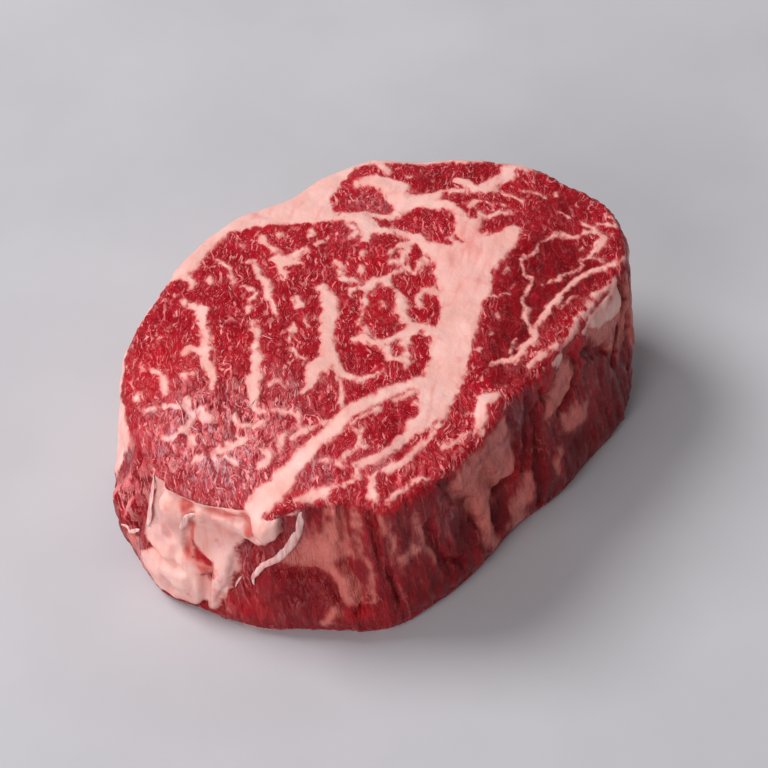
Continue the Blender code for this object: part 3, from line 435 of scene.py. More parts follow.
SIDE_CREASES = {
    # (s, z, half width) of folds pressed into the side
    "pad's left": [(-0.8, 34.2, 0.2), (-1.4, 30, 0.5), (-2.6, 25, 0.5), (-3.6, 22.2, 0.6),
        (-1.5, 20.2, 0.7), (3, 18, 0.5)],
    "pad's top": [(-3, 34, 0.1), (0, 35.6, 0.4), (6, 35.2, 0.5), (10, 34.9, 0.5), (12.8, 36.3, 0.5),
        (12, 38.8, 0.3)],
    "left roll's top": [(-9, 35.6, 0.2), (-5, 35.8, 0.5), (-1.5, 36.2, 0.4)],
    "left roll's left": [(-10.4, 38, 0.2), (-10.4, 32, 0.5), (-9.4, 26, 0.5), (-8, 22, 0.4)],
    "lump's left": [(12.9, 36.6, 0.3), (13.2, 33.5, 0.5), (14.2, 30.6, 0.4)],
    "lump's right": [(20.8, 39.6, 0.5), (22.2, 36.4, 0.6), (21.4, 33.4, 0.7), (18.6, 30.6, 0.6)],
    "knob's right": [(-14.9, 38, 0.5), (-14.6, 32, 0.7), (-16, 26, 0.7), (-18.4, 20, 0.6),
        (-20.5, 14.6, 0.6)],
    "under the knob": [(-29, 15, 0.5), (-26, 12.4, 0.7), (-22, 11, 0.6)],
    "sheet's top": [(-14, 15.6, 0.4), (-9, 14.8, 0.5), (-4, 14.6, 0.4)],
    "sheet's dimple": [(-8.2, 9.4, 0.4), (-6.8, 7.6, 0.6), (-6.6, 5.8, 0.4)],
    "sheet's right": [(3.4, 16, 0.3), (2.2, 11, 0.5), (1.6, 6, 0.4), (0.6, 2, 0.4)],
    "fat to red": [(12.6, 27, 0.5), (10.4, 22, 0.6), (9.4, 16, 0.6), (6.6, 9, 0.6), (5.4, 4, 0.5)],
    "under the tan": [(20.4, 19.4, 0.5), (26, 18.6, 0.6), (31, 17, 0.6), (33.5, 12.5, 0.5)],
    "tan's right": [(34.8, 41, 0.5), (34.8, 32, 0.6), (35.2, 24, 0.6), (38, 16, 0.4), (39, 9, 0.3)],
    "long furrow": [(41, 40, 0.2), (42.6, 30, 0.4), (45.4, 20, 0.5), (49, 10, 0.4)],
    "long furrow 2": [(56.6, 30, 0.2), (59.6, 22, 0.5), (62.4, 14, 0.5), (68, 8, 0.4)],
    "band's left": [(60.6, 43, 0.6), (62.6, 37, 0.8), (67, 30, 0.6), (72, 24, 0.6), (74.6, 15, 0.5)],
    "band's fold": [(74.6, 34, 0.3), (76, 30, 0.9), (78.6, 26, 0.7), (80.4, 21.6, 0.4)],
    "band's right": [(85.4, 41, 0.4), (88, 33, 0.6), (89, 26, 0.5), (87.6, 20, 0.5), (81.6, 20, 0.5),
        (80.4, 14, 0.5), (82.4, 6, 0.4)],
    "streak 1": [(92.5, 40, 0.4), (93.6, 32, 0.5), (91.8, 24, 0.5), (91, 18, 0.4)],
    "streak 2": [(96.6, 34, 0.6), (95.6, 24, 0.6), (95.8, 12, 0.6), (97, 3, 0.4)],
    "lens below": [(97.6, 40, 0.3), (99, 36.2, 0.4), (102, 34.8, 0.5), (105, 37, 0.4)],
    "patch's right": [(111.8, 40, 0.4), (113, 34, 0.6), (112, 29, 0.6), (107, 26.4, 0.5)],
    "triangle's left": [(116.4, 38, 0.7), (119.4, 34.6, 0.9), (124, 31, 0.7), (130, 27, 0.5)],
    "triangle's right": [(137, 42, 0.6), (137.6, 34, 0.7), (135.4, 27, 0.6), (131.6, 21, 0.5)],
    "rib's right": [(142.4, 42, 0.5), (142, 32, 0.6), (140.6, 22, 0.5), (141, 12, 0.3)],
    "silver's right": [(149, 42, 0.4), (148.6, 30, 0.5), (149, 18, 0.4)],
}

# --------------------------------------------------------------------------------------------------
# Mesh and relief
# --------------------------------------------------------------------------------------------------

VOXEL_MM = 0.66
SMOOTHING_ROUNDS = 20
NORMAL_ROUNDS = 6  # how often the normals are averaged with their neighbours'
BASE_MM = 0.3  # points below this stay at their height while the mesh is smoothed
PRESSED_MM = 0.5  # points of the underside below this are pressed flat
FACE_TILT = (0.30, 0.72)  # how upright a normal is where the side ends and the cut face starts
DEPTH_SHARE = 0.8  # the fat starts to wander below this share of the height
DRIFT_MM = 5.0  # how far the underside's fat wanders from the top's
FIELD_REACH = 5.0  # a stroke's distance is only worked out this near to it
CURVE_STEPS = 4  # stretches between two of a stroke's points
GRAIN_TURN = -38.0  # degrees that bring the way the cut fibres lie in line with x
KERNEL_TURN = 62.0
FIBRE_LEAN = 0.22  # how far the fibres lean along x for each millimetre down
LOBE_MM = (3.3, 2.5, 17.0)  # a bundle of muscle fibres, along the grain, across it and down
STRAND_MM = (4.4, 1.5, 12.0)
LOBE_BITE = 0.95  # how far a bundle's round end pushes the fat's edge back
CAP_VEINS_THINNER = 0.24
RIM_MM = TOP_MM - 2.6
# The lip's brightness is painted light, where the wall rounds over towards the lamps
LIP_LIGHT_MM = (3.2, 0.6)  # how far below the rim the bright lip of the wall starts and ends
LIP_LIGHT_AMOUNT = 0.8
SIDE_STREAK_MM = (1.5, 1.5, 12.0)
FAR_MM = 3.0  # distances from the fat's edge are cut off here
WALK_STEP_MM = 0.5
WALK_START = 60.0  # how far before the fat end the side's drawing starts
WALK_BATCH = 4000  # points measured against the walk at a time

# Heights of the relief, in millimetres
LOBE_HEIGHT = 0.42
TORN_HEIGHT = 0.8
FAT_HEIGHT = 0.25
EDGE_GROOVE = 0.16
GRAIN_HEIGHT = 0.16
TORN_GRAIN_HEIGHT = 0.34
FOLD_HEIGHT = 0.3
CORD_HEIGHTS = (0.22, 0.16, 0.5)  # of bundles, strands and streaks on the side
SIDE_FAT_HEIGHT = 0.35
SIDE_WAVE_HEIGHTS = (0.35, 0.55)
SIDE_TORN_HEIGHTS = (0.9, 0.5)
LUMP_SCALE = 1.35
CREASE_DEPTH = 1.6
CREASE_WIDTH = 0.65
BROAD_HEIGHTS = (0.3, 0.45)
SUNK = 0.5  # the whole relief lies this much deeper, so that it stays inside the solid's box
UNDER_SHARE = 0.25  # how much of the relief the underside keeps

PAINTED = ("fat", "film", "deep_red_and_shade", "bright", "face", "tan", "dome", "tone", "coarse", "strand", "strand_tone",
           "blush")  # what the mesh stores for the material

LATTICE_SIZE = 512  # how many gradients and cells the noise draws from
LATTICE_PRIMES = (73856093, 19349663, 83492791)

CAMERA_TARGET_MM = (18.51, 8.75, 0.0)
CAMERA_HEADING = (0.788, 0.616)  # the level direction that the camera looks along
CAMERA_ELEVATION = 45.0
CAMERA_DISTANCE = 0.6616
CAMERA_LENS = 124.9
SENSOR_WIDTH = 36.0

# Lamps stand (left, forward, up) of the steak's middle, in metres, as the camera looks at it
KEY_PLACE = (1.3, 0.4, 1.75)
KEY_SIZE = 1.15
KEY_POWER = 39
FILL_PLACE = (0.85, -1.35, 0.9)
FILL_SIZE = 1.1
FILL_POWER = 17
WORLD_GREY = 0.9
WORLD_STRENGTH = 0.27
FLOOR_HALF = 3.0


def smooth_step(low, high, value):
    part = np.clip((value - low) / (high - low), 0, 1)
    return part * part * (3 - 2 * part)


def bell(value, width):
    return np.exp(-(value / width) ** 2)


def curve_through(points, closed=False, steps=CURVE_STEPS):
    """Catmull-Rom curve through the points, with that many stretches between each two of them."""
    points = np.array(points, float)
    if closed:
        before, after = np.roll(points, 1, 0), np.roll(points, -1, 0)
        last = np.roll(points, -2, 0)
    else:
        padded = np.vstack([2 * points[0] - points[1], points, 2 * points[-1] - points[-2]])
        before, points, after, last = padded[:-3], padded[1:-2], padded[2:-1], padded[3:]
    found = []
    for step in range(steps):
        t = step / steps
        found.append(0.5 * (2 * points + (after - before) * t
                            + (2 * before - 5 * points + 4 * after - last) * t * t
                            + (3 * points - before - 3 * after + last) * t ** 3))
    curve = np.stack(found, 1).reshape(-1, points.shape[1])
    return curve if closed else np.vstack([curve, after[-1]])


def stroke_distance(plan, stroke):
    """Distance of each plan point from the edge of a tapered stroke, below zero inside it."""
    curve = curve_through(stroke) if len(stroke) > 2 else np.array(stroke, float)
    found = np.full(len(plan), FIELD_REACH)
    reach = FIELD_REACH + curve[:, 2].max()
    low, high = curve[:, :2].min(0) - reach, curve[:, :2].max(0) + reach
    near = np.nonzero(((plan > low) & (plan < high)).all(1))[0]
    if not len(near):
        return found
    close = plan[near]
    best = np.full(len(near), FIELD_REACH)
    for start, end in zip(curve[:-1], curve[1:]):
        run = end[:2] - start[:2]
        t = np.clip((close - start[:2]) @ run / max(run @ run, 1e-9), 0, 1)
        half_width = start[2] + t * (end[2] - start[2])
        gap = np.hypot(*(close - start[:2] - t[:, None] * run).T) - half_width
        best = np.minimum(best, gap)
    found[near] = best
    return found


def smooth_min(a, b, blend=0.7):
    part = np.clip(0.5 + 0.5 * (b - a) / blend, 0, 1)
    return b + (a - b) * part - blend * part * (1 - part)


def union(plan, *groups):
    found = np.full(len(plan), FIELD_REACH)
    for group in groups:
        for stroke in group.values():
            found = smooth_min(found, stroke_distance(plan, stroke))
    return found


def humps(plan, rows):
    """Sum of soft humps, each (x, y, radius, amount) or (x, y, radius x, radius y, amount)."""
    total = np.zeros(len(plan))
    for row in rows:
        radius = np.array(row[2:-1])
        away = (plan - np.array(row[:2])) / radius
        total += row[-1] * np.exp(-(away ** 2).sum(1))
    return total


def hashed(corner, seed):
    """A number below LATTICE_SIZE for each whole-number corner of a lattice."""
    primes = np.array(LATTICE_PRIMES)[:corner.shape[1]]
    mixed = (corner * primes).sum(1) ^ (seed * 2654435)
    mixed = (mixed ^ (mixed >> 13)) * 1274126177
    return (mixed >> 7) & (LATTICE_SIZE - 1)


def lattice_noise(points, seed):
    """Gradient noise from about -1 to 1, one unit across."""
    corner = np.floor(points).astype(np.int64)
    part = points - corner
    ease = part ** 3 * (part * (part * 6 - 15) + 10)
    gradients = np.random.default_rng(seed).normal(size=(LATTICE_SIZE, points.shape[1]))
    gradients /= np.linalg.norm(gradients, axis=1, keepdims=True)
    total = np.zeros(len(points))
    for index in np.ndindex(*(2,) * points.shape[1]):
        step = np.array(index)
        gradient = gradients[hashed(corner + step, seed)]
        weight = np.prod(np.where(step, ease, 1 - ease), axis=1)
        total += weight * ((part - step) * gradient).sum(1)
    return total * 1.5


def noise(points, sizes, seed, octaves=1):
    """Noise over millimetre points, which changes over sizes: one number, or one for each axis."""
    total = np.zeros(len(points))
    for octave in range(octaves):
        scaled = points / np.array(sizes) * 2 ** octave
        total += lattice_noise(scaled, SEED * 100 + seed + octave * 17) / 2 ** octave
    return total


def wobble(points, size, amount, seed):
    """The points pushed about by up to amount millimetres."""
    sizes = (size,) * 2 + (size * 3,) * (points.shape[1] - 2)
    pushes = [noise(points, sizes, seed + axis) for axis in range(points.shape[1])]
    return points + np.stack(pushes, 1) * amount


def cells(points, sizes, seed):
    """Rounded cells: from 0 in the gaps to 1 in a cell's middle, and each cell's tone, 0 to 1."""
    scaled = points / np.array(sizes)
    base = np.floor(scaled).astype(np.int64)
    table = np.random.default_rng(SEED * 100 + seed).random((LATTICE_SIZE, 4))
    nearest = np.full(len(points), 9.0)
    second = nearest.copy()
    tone = np.zeros(len(points))
    for index in np.ndindex(3, 3, 3):
        corner = base + np.array(index) - 1
        row = table[hashed(corner, seed)]
        gap = np.linalg.norm(scaled - corner - row[:, :3], axis=1)
        closer = gap < nearest
        second = np.where(closer, nearest, np.minimum(second, gap))
        tone = np.where(closer, row[:, 3], tone)
        nearest = np.where(closer, gap, nearest)
    return smooth_step(0.0, 0.55, second - nearest), tone


class Surface:
    """The remeshed steak as arrays: places in millimetres, normals and neighbours."""

    def __init__(self, mesh):
        self.mesh = mesh
        self.place = self.read("co") / MM
        pairs = np.zeros(len(mesh.edges) * 2, np.int32)
        mesh.edges.foreach_get("vertices", pairs)
        self.pairs = pairs.reshape(-1, 2)
        self.count = np.bincount(self.pairs.ravel(), minlength=len(self.place))[:, None]

    def read(self, name):
        values = np.zeros(len(self.mesh.vertices) * 3, np.float32)
        self.mesh.vertices.foreach_get(name, values)
        return values.reshape(-1, 3).astype(float)

    def write(self):
        self.mesh.vertices.foreach_set("co", (self.place * MM).astype(np.float32).ravel())
        self.mesh.update()

    def neighbour_mean(self, values):
        total = np.zeros_like(values)
        for axis in range(values.shape[1]):
            for here, there in ((0, 1), (1, 0)):
                theirs = values[self.pairs[:, there], axis]
                total[:, axis] += np.bincount(self.pairs[:, here], theirs, len(values))
        return total / self.count

    def smooth_normals(self, rounds):
        self.write()
        normals = self.read("normal")
        for _ in range(rounds):
            normals = self.neighbour_mean(normals)
        return normals / np.linalg.norm(normals, axis=1, keepdims=True)

    def relax(self, rounds):
        flat = self.place[:, 2] < BASE_MM
        for _ in range(rounds):
            moved = self.neighbour_mean(self.place)
            moved[flat, 2] = self.place[flat, 2]
            self.place += 0.5 * (moved - self.place)

    def store(self, name, values):
        attribute = self.mesh.attributes.new(name, "FLOAT", "POINT")
        attribute.data.foreach_set("value", values.astype(np.float32))


def remeshed(node):
    """A fine, even, closed copy of a CAD node's mesh."""
    rough = bpy.data.objects.new("rough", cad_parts[node].data.copy())
    bpy.context.scene.collection.objects.link(rough)
    remesh = rough.modifiers.new("remesh", "REMESH")
    remesh.mode = "VOXEL"
    remesh.voxel_size = VOXEL_MM * MM
    graph = bpy.context.evaluated_depsgraph_get()
    fine = bpy.data.meshes.new_from_object(rough.evaluated_get(graph))
    bpy.data.objects.remove(rough)
    return fine


def edge_curve():
    """The edge walk as a closed curve: s, and the x and y of points WALK_STEP_MM apart."""
    rows = np.array(EDGE_WALK, float)
    closed = curve_through(rows[:, 1:], closed=True)
    ends = np.append(rows[:, 0], EDGE_LENGTH)
    stretches = [np.linspace(a, b, CURVE_STEPS, endpoint=False) for a, b in zip(ends[:-1], ends[1:])]
    knots = np.append(np.concatenate(stretches), EDGE_LENGTH)
    fine = np.arange(0, EDGE_LENGTH, WALK_STEP_MM)
    loop = np.vstack([closed, closed[:1]])
    return fine, np.stack([np.interp(fine, knots, loop[:, axis]) for axis in (0, 1)], 1)


def edge_place(place):
    """How far round the edge each point lies, by the nearest point of the walk, from -WALK_START."""
    along, walk = edge_curve()
    found = np.zeros(len(place))
    for start in range(0, len(place), WALK_BATCH):
        part = place[start:start + WALK_BATCH, None, :2] - walk[None]
        found[start:start + WALK_BATCH] = along[(part ** 2).sum(2).argmin(1)]
    return np.where(found > EDGE_LENGTH - WALK_START, found - EDGE_LENGTH, found)


def side_union(plan, group):
    """The same as union, but strokes past the walk's start also reach round to its end."""
    wrapped = plan + np.array([EDGE_LENGTH, 0])
    return np.minimum(union(plan, group), union(wrapped, group))


def side_humps(plan, rows):
    return humps(plan, rows) + humps(plan + np.array([EDGE_LENGTH, 0]), rows)


def along_fibres(place):
    """Places turned and sheared so that x runs along the cut grain and z down the muscle fibres."""
    cosine, sine = math.cos(math.radians(GRAIN_TURN)), math.sin(math.radians(GRAIN_TURN))
    x = place[:, 0] + FIBRE_LEAN * (place[:, 2] - TOP_MM)
    y = place[:, 1]
    return np.stack([x * cosine - y * sine, x * sine + y * cosine, place[:, 2]], 1)


class Anatomy:
    """What lies at each point of the surface: face or side, fat, film, and the lean's bundles."""

    def __init__(self, surface):
        place = surface.place
        self.place = place
        self.out = surface.smooth_normals(NORMAL_ROUNDS)
        up = self.out[:, 2]
        self.top = smooth_step(*FACE_TILT, up)
        self.bottom = smooth_step(*FACE_TILT, -up)
        self.face = np.maximum(self.top, self.bottom)
        self.side = 1 - self.face
        self.under = up < -0.5
        self.plan = self.drifted()
        self.round = np.stack([edge_place(place), place[:, 2]], 1)
        self.find_bundles()
        self.find_fat()
        self.find_tints()

    def drifted(self):
        """The plan of each point, wandering with depth, so the underside isn't a copy of the top."""
        plan = self.place[:, :2]
        depth = np.clip(DEPTH_SHARE - self.place[:, 2] / TOP_MM, 0, 1)
        drift = np.stack([noise(plan, 18, 1), noise(plan, 18, 2)], 1) * DRIFT_MM
        plan = plan + drift * depth[:, None]
        return wobble(wobble(plan, 5.5, 0.9, 3), 2.0, 0.42, 5)

    def find_bundles(self):
        fibres = along_fibres(self.place)
        swirled = wobble(wobble(fibres, 11, 3.0, 8), 4, 0.9, 11)
        self.dome, self.tone = cells(swirled, LOBE_MM, 14)
        self.strand, self.strand_tone = cells(swirled, STRAND_MM, 15)
        self.fibres = fibres
        self.coarse = np.clip(self.marked(COARSE_LEAN, SIDE_TORN), 0, 1)

    def marked(self, on_top, on_side):
        """How much of a mark lies at each point, from its humps on the top and those on the side."""
        return self.top * humps(self.plan, on_top) + self.side * side_humps(self.round, on_side)

    def find_fat(self):
        masses = union(self.plan, FAT_MASSES)
        islands = union(self.plan, LEAN_ISLANDS)
        veins = union(self.plan, EYE_VEINS, SMALL_MUSCLE_VEINS)
        veins = np.minimum(veins, union(self.plan, CAP_VEINS) + CAP_VEINS_THINNER)
        on_face = smooth_min(np.maximum(masses, -islands), veins, 0.5)
        calm = 1 - 0.75 * np.clip(humps(self.plan, DEEP_RED_AND_SHADE), 0, 1)
        calm *= 1 - np.clip(humps(self.plan, SMOOTH_SEAMS), 0, 0.8)
        on_face += LOBE_BITE * (self.dome - 0.36) * bell(on_face, 1.6) * calm
        on_face += 0.34 * noise(self.place, (2.0, 2.0, 6), 17, 2) * calm
        round_place = wobble(self.round, 3.5, 0.8, 19)
        on_side = np.maximum(side_union(round_place, SIDE_FAT), -side_union(round_place, SIDE_LEAN))
        streaks = noise(self.fibres, SIDE_STREAK_MM, 21, 2)
        on_side += 0.55 * streaks
        weight = smooth_step(0.3, 0.8, self.face)
        on_face = np.clip(on_face, -FAR_MM, FAR_MM)
        on_side = np.clip(on_side, -FAR_MM, FAR_MM)
        self.fat = on_face * weight + on_side * (1 - weight)
        self.streaks = streaks
        soft = side_union(wobble(self.round, 6, 1.6, 23), SIDE_TAN)
        soft = soft + 1.6 * streaks + 0.8 * noise(self.place, 2.2, 25, 2)
        self.tan = self.side * smooth_step(1.5, -1.3, soft)
        self.in_fat = smooth_step(0.6, -0.6, self.fat)

    def find_tints(self):
        self.film = self.marked(LILAC_FILM, SIDE_FILM)
        self.blush = self.marked(PINK_FAT, SIDE_PINK)
        # The cap's deeper red, with painted shade in the hollows and folds of the face and the side
        self.deep_red_and_shade = self.face * humps(self.plan, DEEP_RED_AND_SHADE) + self.side * side_humps(self.round, SIDE_DARK_AND_SHADE)
        # Painted light along the top of the wall, where its lip rounds over towards the lamps
        lip = self.side * smooth_step(RIM_MM - LIP_LIGHT_MM[0], RIM_MM - LIP_LIGHT_MM[1], self.place[:, 2])
        lip *= smooth_step(-0.2, 0.8, noise(self.place, (4, 4, 3), 41, 2)) * LIP_LIGHT_AMOUNT
        self.bright = self.marked(FRESH_RED, SIDE_BRIGHT_AND_LIGHT) + lip

    def relief(self):
        """How far each point stands out from the smooth solid, in millimetres."""
        height = self.face * self.face_relief() + self.side * self.side_relief()
        height += self.top * humps(self.plan, RELIEF_ON_FACE)
        height += BROAD_HEIGHTS[0] * noise(self.place, 7, 35, 2)
        height += BROAD_HEIGHTS[1] * noise(self.place, 17, 37) - SUNK
        return np.where(self.under, UNDER_SHARE * height, height)

    def face_relief(self):
        """Round ends of bundles, torn strands, raised fat and the groove along its edge."""
        lean = 1 - self.in_fat
        deep_red_and_shade = np.clip(self.deep_red_and_shade, 0, 1)
        lobes = LOBE_HEIGHT * np.sqrt(self.dome) * (1 - 0.6 * deep_red_and_shade) + TORN_HEIGHT * self.coarse * self.strand
        height = lean * lobes + FAT_HEIGHT * self.in_fat - EDGE_GROOVE * lean * bell(self.fat - 0.3, 0.4)
        height += lean * noise(self.place, 1.5, 28, 2) * (GRAIN_HEIGHT + TORN_GRAIN_HEIGHT * self.coarse)
        return height + FOLD_HEIGHT * lean * deep_red_and_shade * noise(self.fibres, (8, 2.4, 14), 45, 2)

    def side_relief(self):
        """Cords of fibre, smoother where fat covers them, with the lumps and creases drawn above."""
        cords = sum(part * field for part, field in zip(CORD_HEIGHTS, (self.dome, self.strand, self.streaks)))
        covered = np.clip(self.in_fat + 0.6 * self.tan, 0, 1)
        height = cords * (1 - 0.72 * covered) + SIDE_FAT_HEIGHT * covered
        height += SIDE_WAVE_HEIGHTS[0] * noise(self.place, (3.2, 3.2, 9), 31, 2)
        height += SIDE_WAVE_HEIGHTS[1] * covered * noise(self.place, (5, 5, 7), 39, 2)
        torn = SIDE_TORN_HEIGHTS[0] * self.strand + SIDE_TORN_HEIGHTS[1] * noise(self.place, 1.6, 43, 2)
        height += self.coarse * torn
        folds = side_union(wobble(self.round, 4, 0.8, 33), SIDE_CREASES)
        height -= CREASE_DEPTH * bell(np.clip(folds, 0, None), CREASE_WIDTH)
        return height + LUMP_SCALE * side_humps(self.round, SIDE_LUMPS)


def shape_and_paint(surface):
    """Moves the relief into the mesh and stores what the material reads."""
    anatomy = Anatomy(surface)
    surface.place = surface.place + anatomy.out * anatomy.relief()[:, None]
    surface.place = np.clip(surface.place, np.array(steak_low) / MM, np.array(steak_high) / MM)
    settle_base(surface, anatomy.bottom)
    surface.write()
    for name in PAINTED:
        values = getattr(anatomy, name)
        surface.store(name, values if name == "fat" else np.clip(values, 0, 1))


def settle_base(surface, bottom):
    """Presses the underside flat where it touches the table."""
    z = surface.place[:, 2]
    surface.place[:, 2] = np.where((bottom > 0.5) & (z < PRESSED_MM), 0.0, z)


def add_piece(name, mesh, material):
    """One mesh of the steak, which stands with the others for the CAD solid."""
    for polygon in mesh.polygons:
        polygon.use_smooth = True
    mesh.materials.clear()
    mesh.materials.append(material)
    piece = bpy.data.objects.new(name, mesh)
    bpy.context.scene.collection.objects.link(piece)
    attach(piece, "root")
    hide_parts("steak")
    return piece


def make_meat():
    mesh = remeshed("steak")
    surface = Surface(mesh)
    surface.relax(SMOOTHING_ROUNDS)
    shape_and_paint(surface)
    return add_piece("steak_meat", mesh, meat_material())


# --------------------------------------------------------------------------------------------------
# Sinews and loose fibres, which lie on the meat
# --------------------------------------------------------------------------------------------------

TUBE_SIDES = 8
SINEW_THICKNESS = 0.38  # as a share of the half width
FLAP_THICKNESS = 0.14
LEAST_HALF_WIDTH = 0.08
FIBRE_SIDES = 5
FIBRE_RINGS = 9
FIBRE_LENGTH = (2.0, 5.5)
FIBRE_HALF_WIDTH = (0.08, 0.13)
FIBRE_LIFT = 0.03
FIBRE_THICKNESS = 0.8

SINEWS = {
    # (s, z, half width, lift off the wall)
    "hanging sinew": [(25.6, 39.6, 0.5, -0.4), (25.2, 37.6, 0.9, -0.1), (23.6, 33, 1.25, 0.2),
        (21.4, 27.6, 1.2, 0.35), (19, 24, 0.95, 0.45), (17.4, 21.4, 0.75, 0.6), (16.2, 18.6, 0.7, 0.7),
        (15, 17.4, 0.6, 0.6), (14.5, 15.6, 0.4, 0.5), (14.8, 14.2, 0.15, 0.3)],
    "white strand": [(0.2, 34.2, 0.2, -0.1), (-1.4, 32.6, 0.6, 0.2), (-2.8, 29.6, 0.8, 0.3),
        (-3.8, 26.6, 0.7, 0.3), (-4.4, 23.6, 0.2, 0.0)],
    "thin strand": [(11.6, 16.6, 0.1, 0.1), (11, 15, 0.35, 0.3), (10.4, 13.4, 0.3, 0.3),
        (10, 12, 0.1, 0.1)],
    "left tag": [(-18, 16.4, 0.2, 0.2), (-20, 14.6, 0.5, 0.8), (-22.4, 12.8, 0.6, 1.1),
        (-25, 11.2, 0.45, 1.2), (-26.6, 10.8, 0.2, 1.3)],
}

FLAPS = {
    # (s, z, half width, lift off the wall) of thin membrane
    "membrane's edge": [(-13.6, 39.6, 0.3, 0.1), (-13.4, 36, 1.3, 0.15), (-13.4, 30, 1.7, 0.2),
        (-13.6, 24.6, 1.3, 0.2), (-15, 19.5, 0.3, 0.1)],
}


def meat_tree(meat):
    points = [vertex.co for vertex in meat.data.vertices]
    return BVHTree.FromPolygons(points, [polygon.vertices for polygon in meat.data.polygons])


def laid_on(tree, points, lifts):
    """The points moved to the nearest place on the meat and lifted off it, and the ways out."""
    places, outs = [], []
    for point, lift in zip(points, lifts):
        place, normal, _, _ = tree.find_nearest(Vector(point) * MM)
        places.append(np.array(place) / MM + np.array(normal) * lift)
        outs.append(np.array(normal))
    places, outs = softened(np.array(places), 3), softened(np.array(outs), 12)
    return places, outs / np.linalg.norm(outs, axis=1, keepdims=True)


def softened(rows, reach):
    """Each row averaged with those up to reach before and after it."""
    return np.array([rows[max(i - reach, 0):i + reach + 1].mean(0) for i in range(len(rows))])


def ribbon(centres, outs, half_widths, thickness, sides):
    """Rings of a flat closed tube along the centres, and its faces."""
    ways = np.gradient(centres, axis=0)
    ways /= np.linalg.norm(ways, axis=1, keepdims=True)
    across = np.cross(ways, outs)
    across /= np.linalg.norm(across, axis=1, keepdims=True)
    angles = np.linspace(0, 2 * np.pi, sides, endpoint=False)
    half_widths = half_widths[:, None, None]
    wide = half_widths * np.cos(angles)[None, :, None] * across[:, None]
    thick = half_widths * thickness * np.sin(angles)[None, :, None] * outs[:, None]
    points = (centres[:, None] + wide + thick).reshape(-1, 3)
    faces = []
    for ring in range(len(centres) - 1):
        for side in range(sides):
            turn = (side + 1) % sides
            a, b = ring * sides + side, ring * sides + turn
            faces.append((a, b, b + sides, a + sides))
    faces.append(tuple(reversed(range(sides))))
    last = (len(centres) - 1) * sides
    faces.append(tuple(range(last, last + sides)))
    return points, faces


def joined_mesh(name, parts):
    points, faces, start = [], [], 0
    for part_points, part_faces in parts:
        points.append(np.clip(part_points, np.array(steak_low) / MM, np.array(steak_high) / MM))
        faces += [tuple(index + start for index in face) for face in part_faces]
        start += len(part_points)
    mesh = bpy.data.meshes.new(name)
    mesh.from_pydata((np.vstack(points) * MM).tolist(), [], faces)
    mesh.update()
    return mesh


def wall_points(rows):
    """Places of (s, z) rows on the edge walk, in millimetres."""
    along, walk = edge_curve()
    s = np.mod(rows[:, 0], EDGE_LENGTH)
    x, y = (np.interp(s, along, walk[:, axis]) for axis in (0, 1))
    return np.stack([x, y, rows[:, 1]], 1)


def strip(tree, stroke, thickness):
    """A flat tube laid on the side along one stroke."""
    rows = curve_through(stroke, steps=6)
    centres, outs = laid_on(tree, wall_points(rows), rows[:, 3])
    return ribbon(centres, outs, np.maximum(rows[:, 2], LEAST_HALF_WIDTH), thickness, TUBE_SIDES)


def make_sinews(tree, material):
    parts = [strip(tree, stroke, SINEW_THICKNESS) for stroke in SINEWS.values()]
    parts += [strip(tree, stroke, FLAP_THICKNESS) for stroke in FLAPS.values()]
    add_piece("sinews", joined_mesh("sinews", parts), material)


def make_loose_fibres(tree, material):
    """Fine pale fibres, curled on the cut face, most of them where the lean is coarse."""
    random = np.random.default_rng(SEED + 1)
    parts = []
    for x, y, spread, count in LOOSE_FIBRES:
        for _ in range(count):
            start = np.array([x, y]) + random.normal(size=2) * spread
            parts.append(loose_fibre(tree, random, start))
    add_piece("loose_fibres", joined_mesh("loose_fibres", parts), material)


def loose_fibre(tree, random, start):
    """One fibre that starts there and bends a little as it runs with the grain."""
    turn = math.radians(-GRAIN_TURN) + random.normal() * 0.5
    bend = random.normal() * 0.06
    length = random.uniform(*FIBRE_LENGTH)
    turns = turn + bend * np.arange(FIBRE_RINGS) * random.uniform(0.6, 1.6)
    steps = np.stack([np.cos(turns), np.sin(turns)], 1) * length / FIBRE_RINGS
    path = np.column_stack([start + np.cumsum(steps, 0), np.full(FIBRE_RINGS, TOP_MM)])
    lifts = FIBRE_LIFT * np.sin(np.linspace(0, np.pi, FIBRE_RINGS))
    centres, outs = laid_on(tree, path, lifts)
    taper = np.sin(np.linspace(0.3, np.pi - 0.3, FIBRE_RINGS))
    return ribbon(centres, outs, random.uniform(*FIBRE_HALF_WIDTH) * taper, FIBRE_THICKNESS, FIBRE_SIDES)


# --------------------------------------------------------------------------------------------------
# Materials
# --------------------------------------------------------------------------------------------------


def linear(red, green, blue):
    """A colour given as it looks on a screen, 0 to 255, in the linear values that nodes take."""
    values = []
    for value in (red, green, blue):
        part = value / 255
        values.append(part / 12.92 if part <= 0.04045 else ((part + 0.055) / 1.055) ** 2.4)
    return (*values, 1.0)


LEAN_RED = linear(162, 2, 22)
LEAN_MID = linear(182, 17, 38)
LEAN_PALE = linear(222, 90, 96)
LEAN_DEEP_AND_SHADE = linear(126, 0, 12)
LEAN_BRIGHT_AND_LIT = linear(198, 12, 28)
CAP_RED = linear(120, 0, 13)
CAP_FOLD_SHADE = linear(88, 0, 6)
MARBLING_AND_GLINT = linear(246, 152, 150)
FAT_PALE = linear(242, 192, 184)
FAT_MAIN = linear(236, 176, 166)
FAT_PINK = linear(228, 144, 136)
FAT_BLUSH = linear(214, 86, 80)
FILM = linear(230, 182, 192)
SIDE_RED = linear(154, 30, 38)
SIDE_DEEP_AND_SHADE = linear(98, 6, 14)
SIDE_PALE = linear(198, 96, 92)
SIDE_TAN_FAT = linear(214, 118, 108)
SINEW_WHITE = linear(240, 200, 194)
SINEW_PINK = linear(222, 140, 138)
FLOOR_DARK = linear(186, 184, 189)
FLOOR_LIGHT = linear(194, 192, 197)

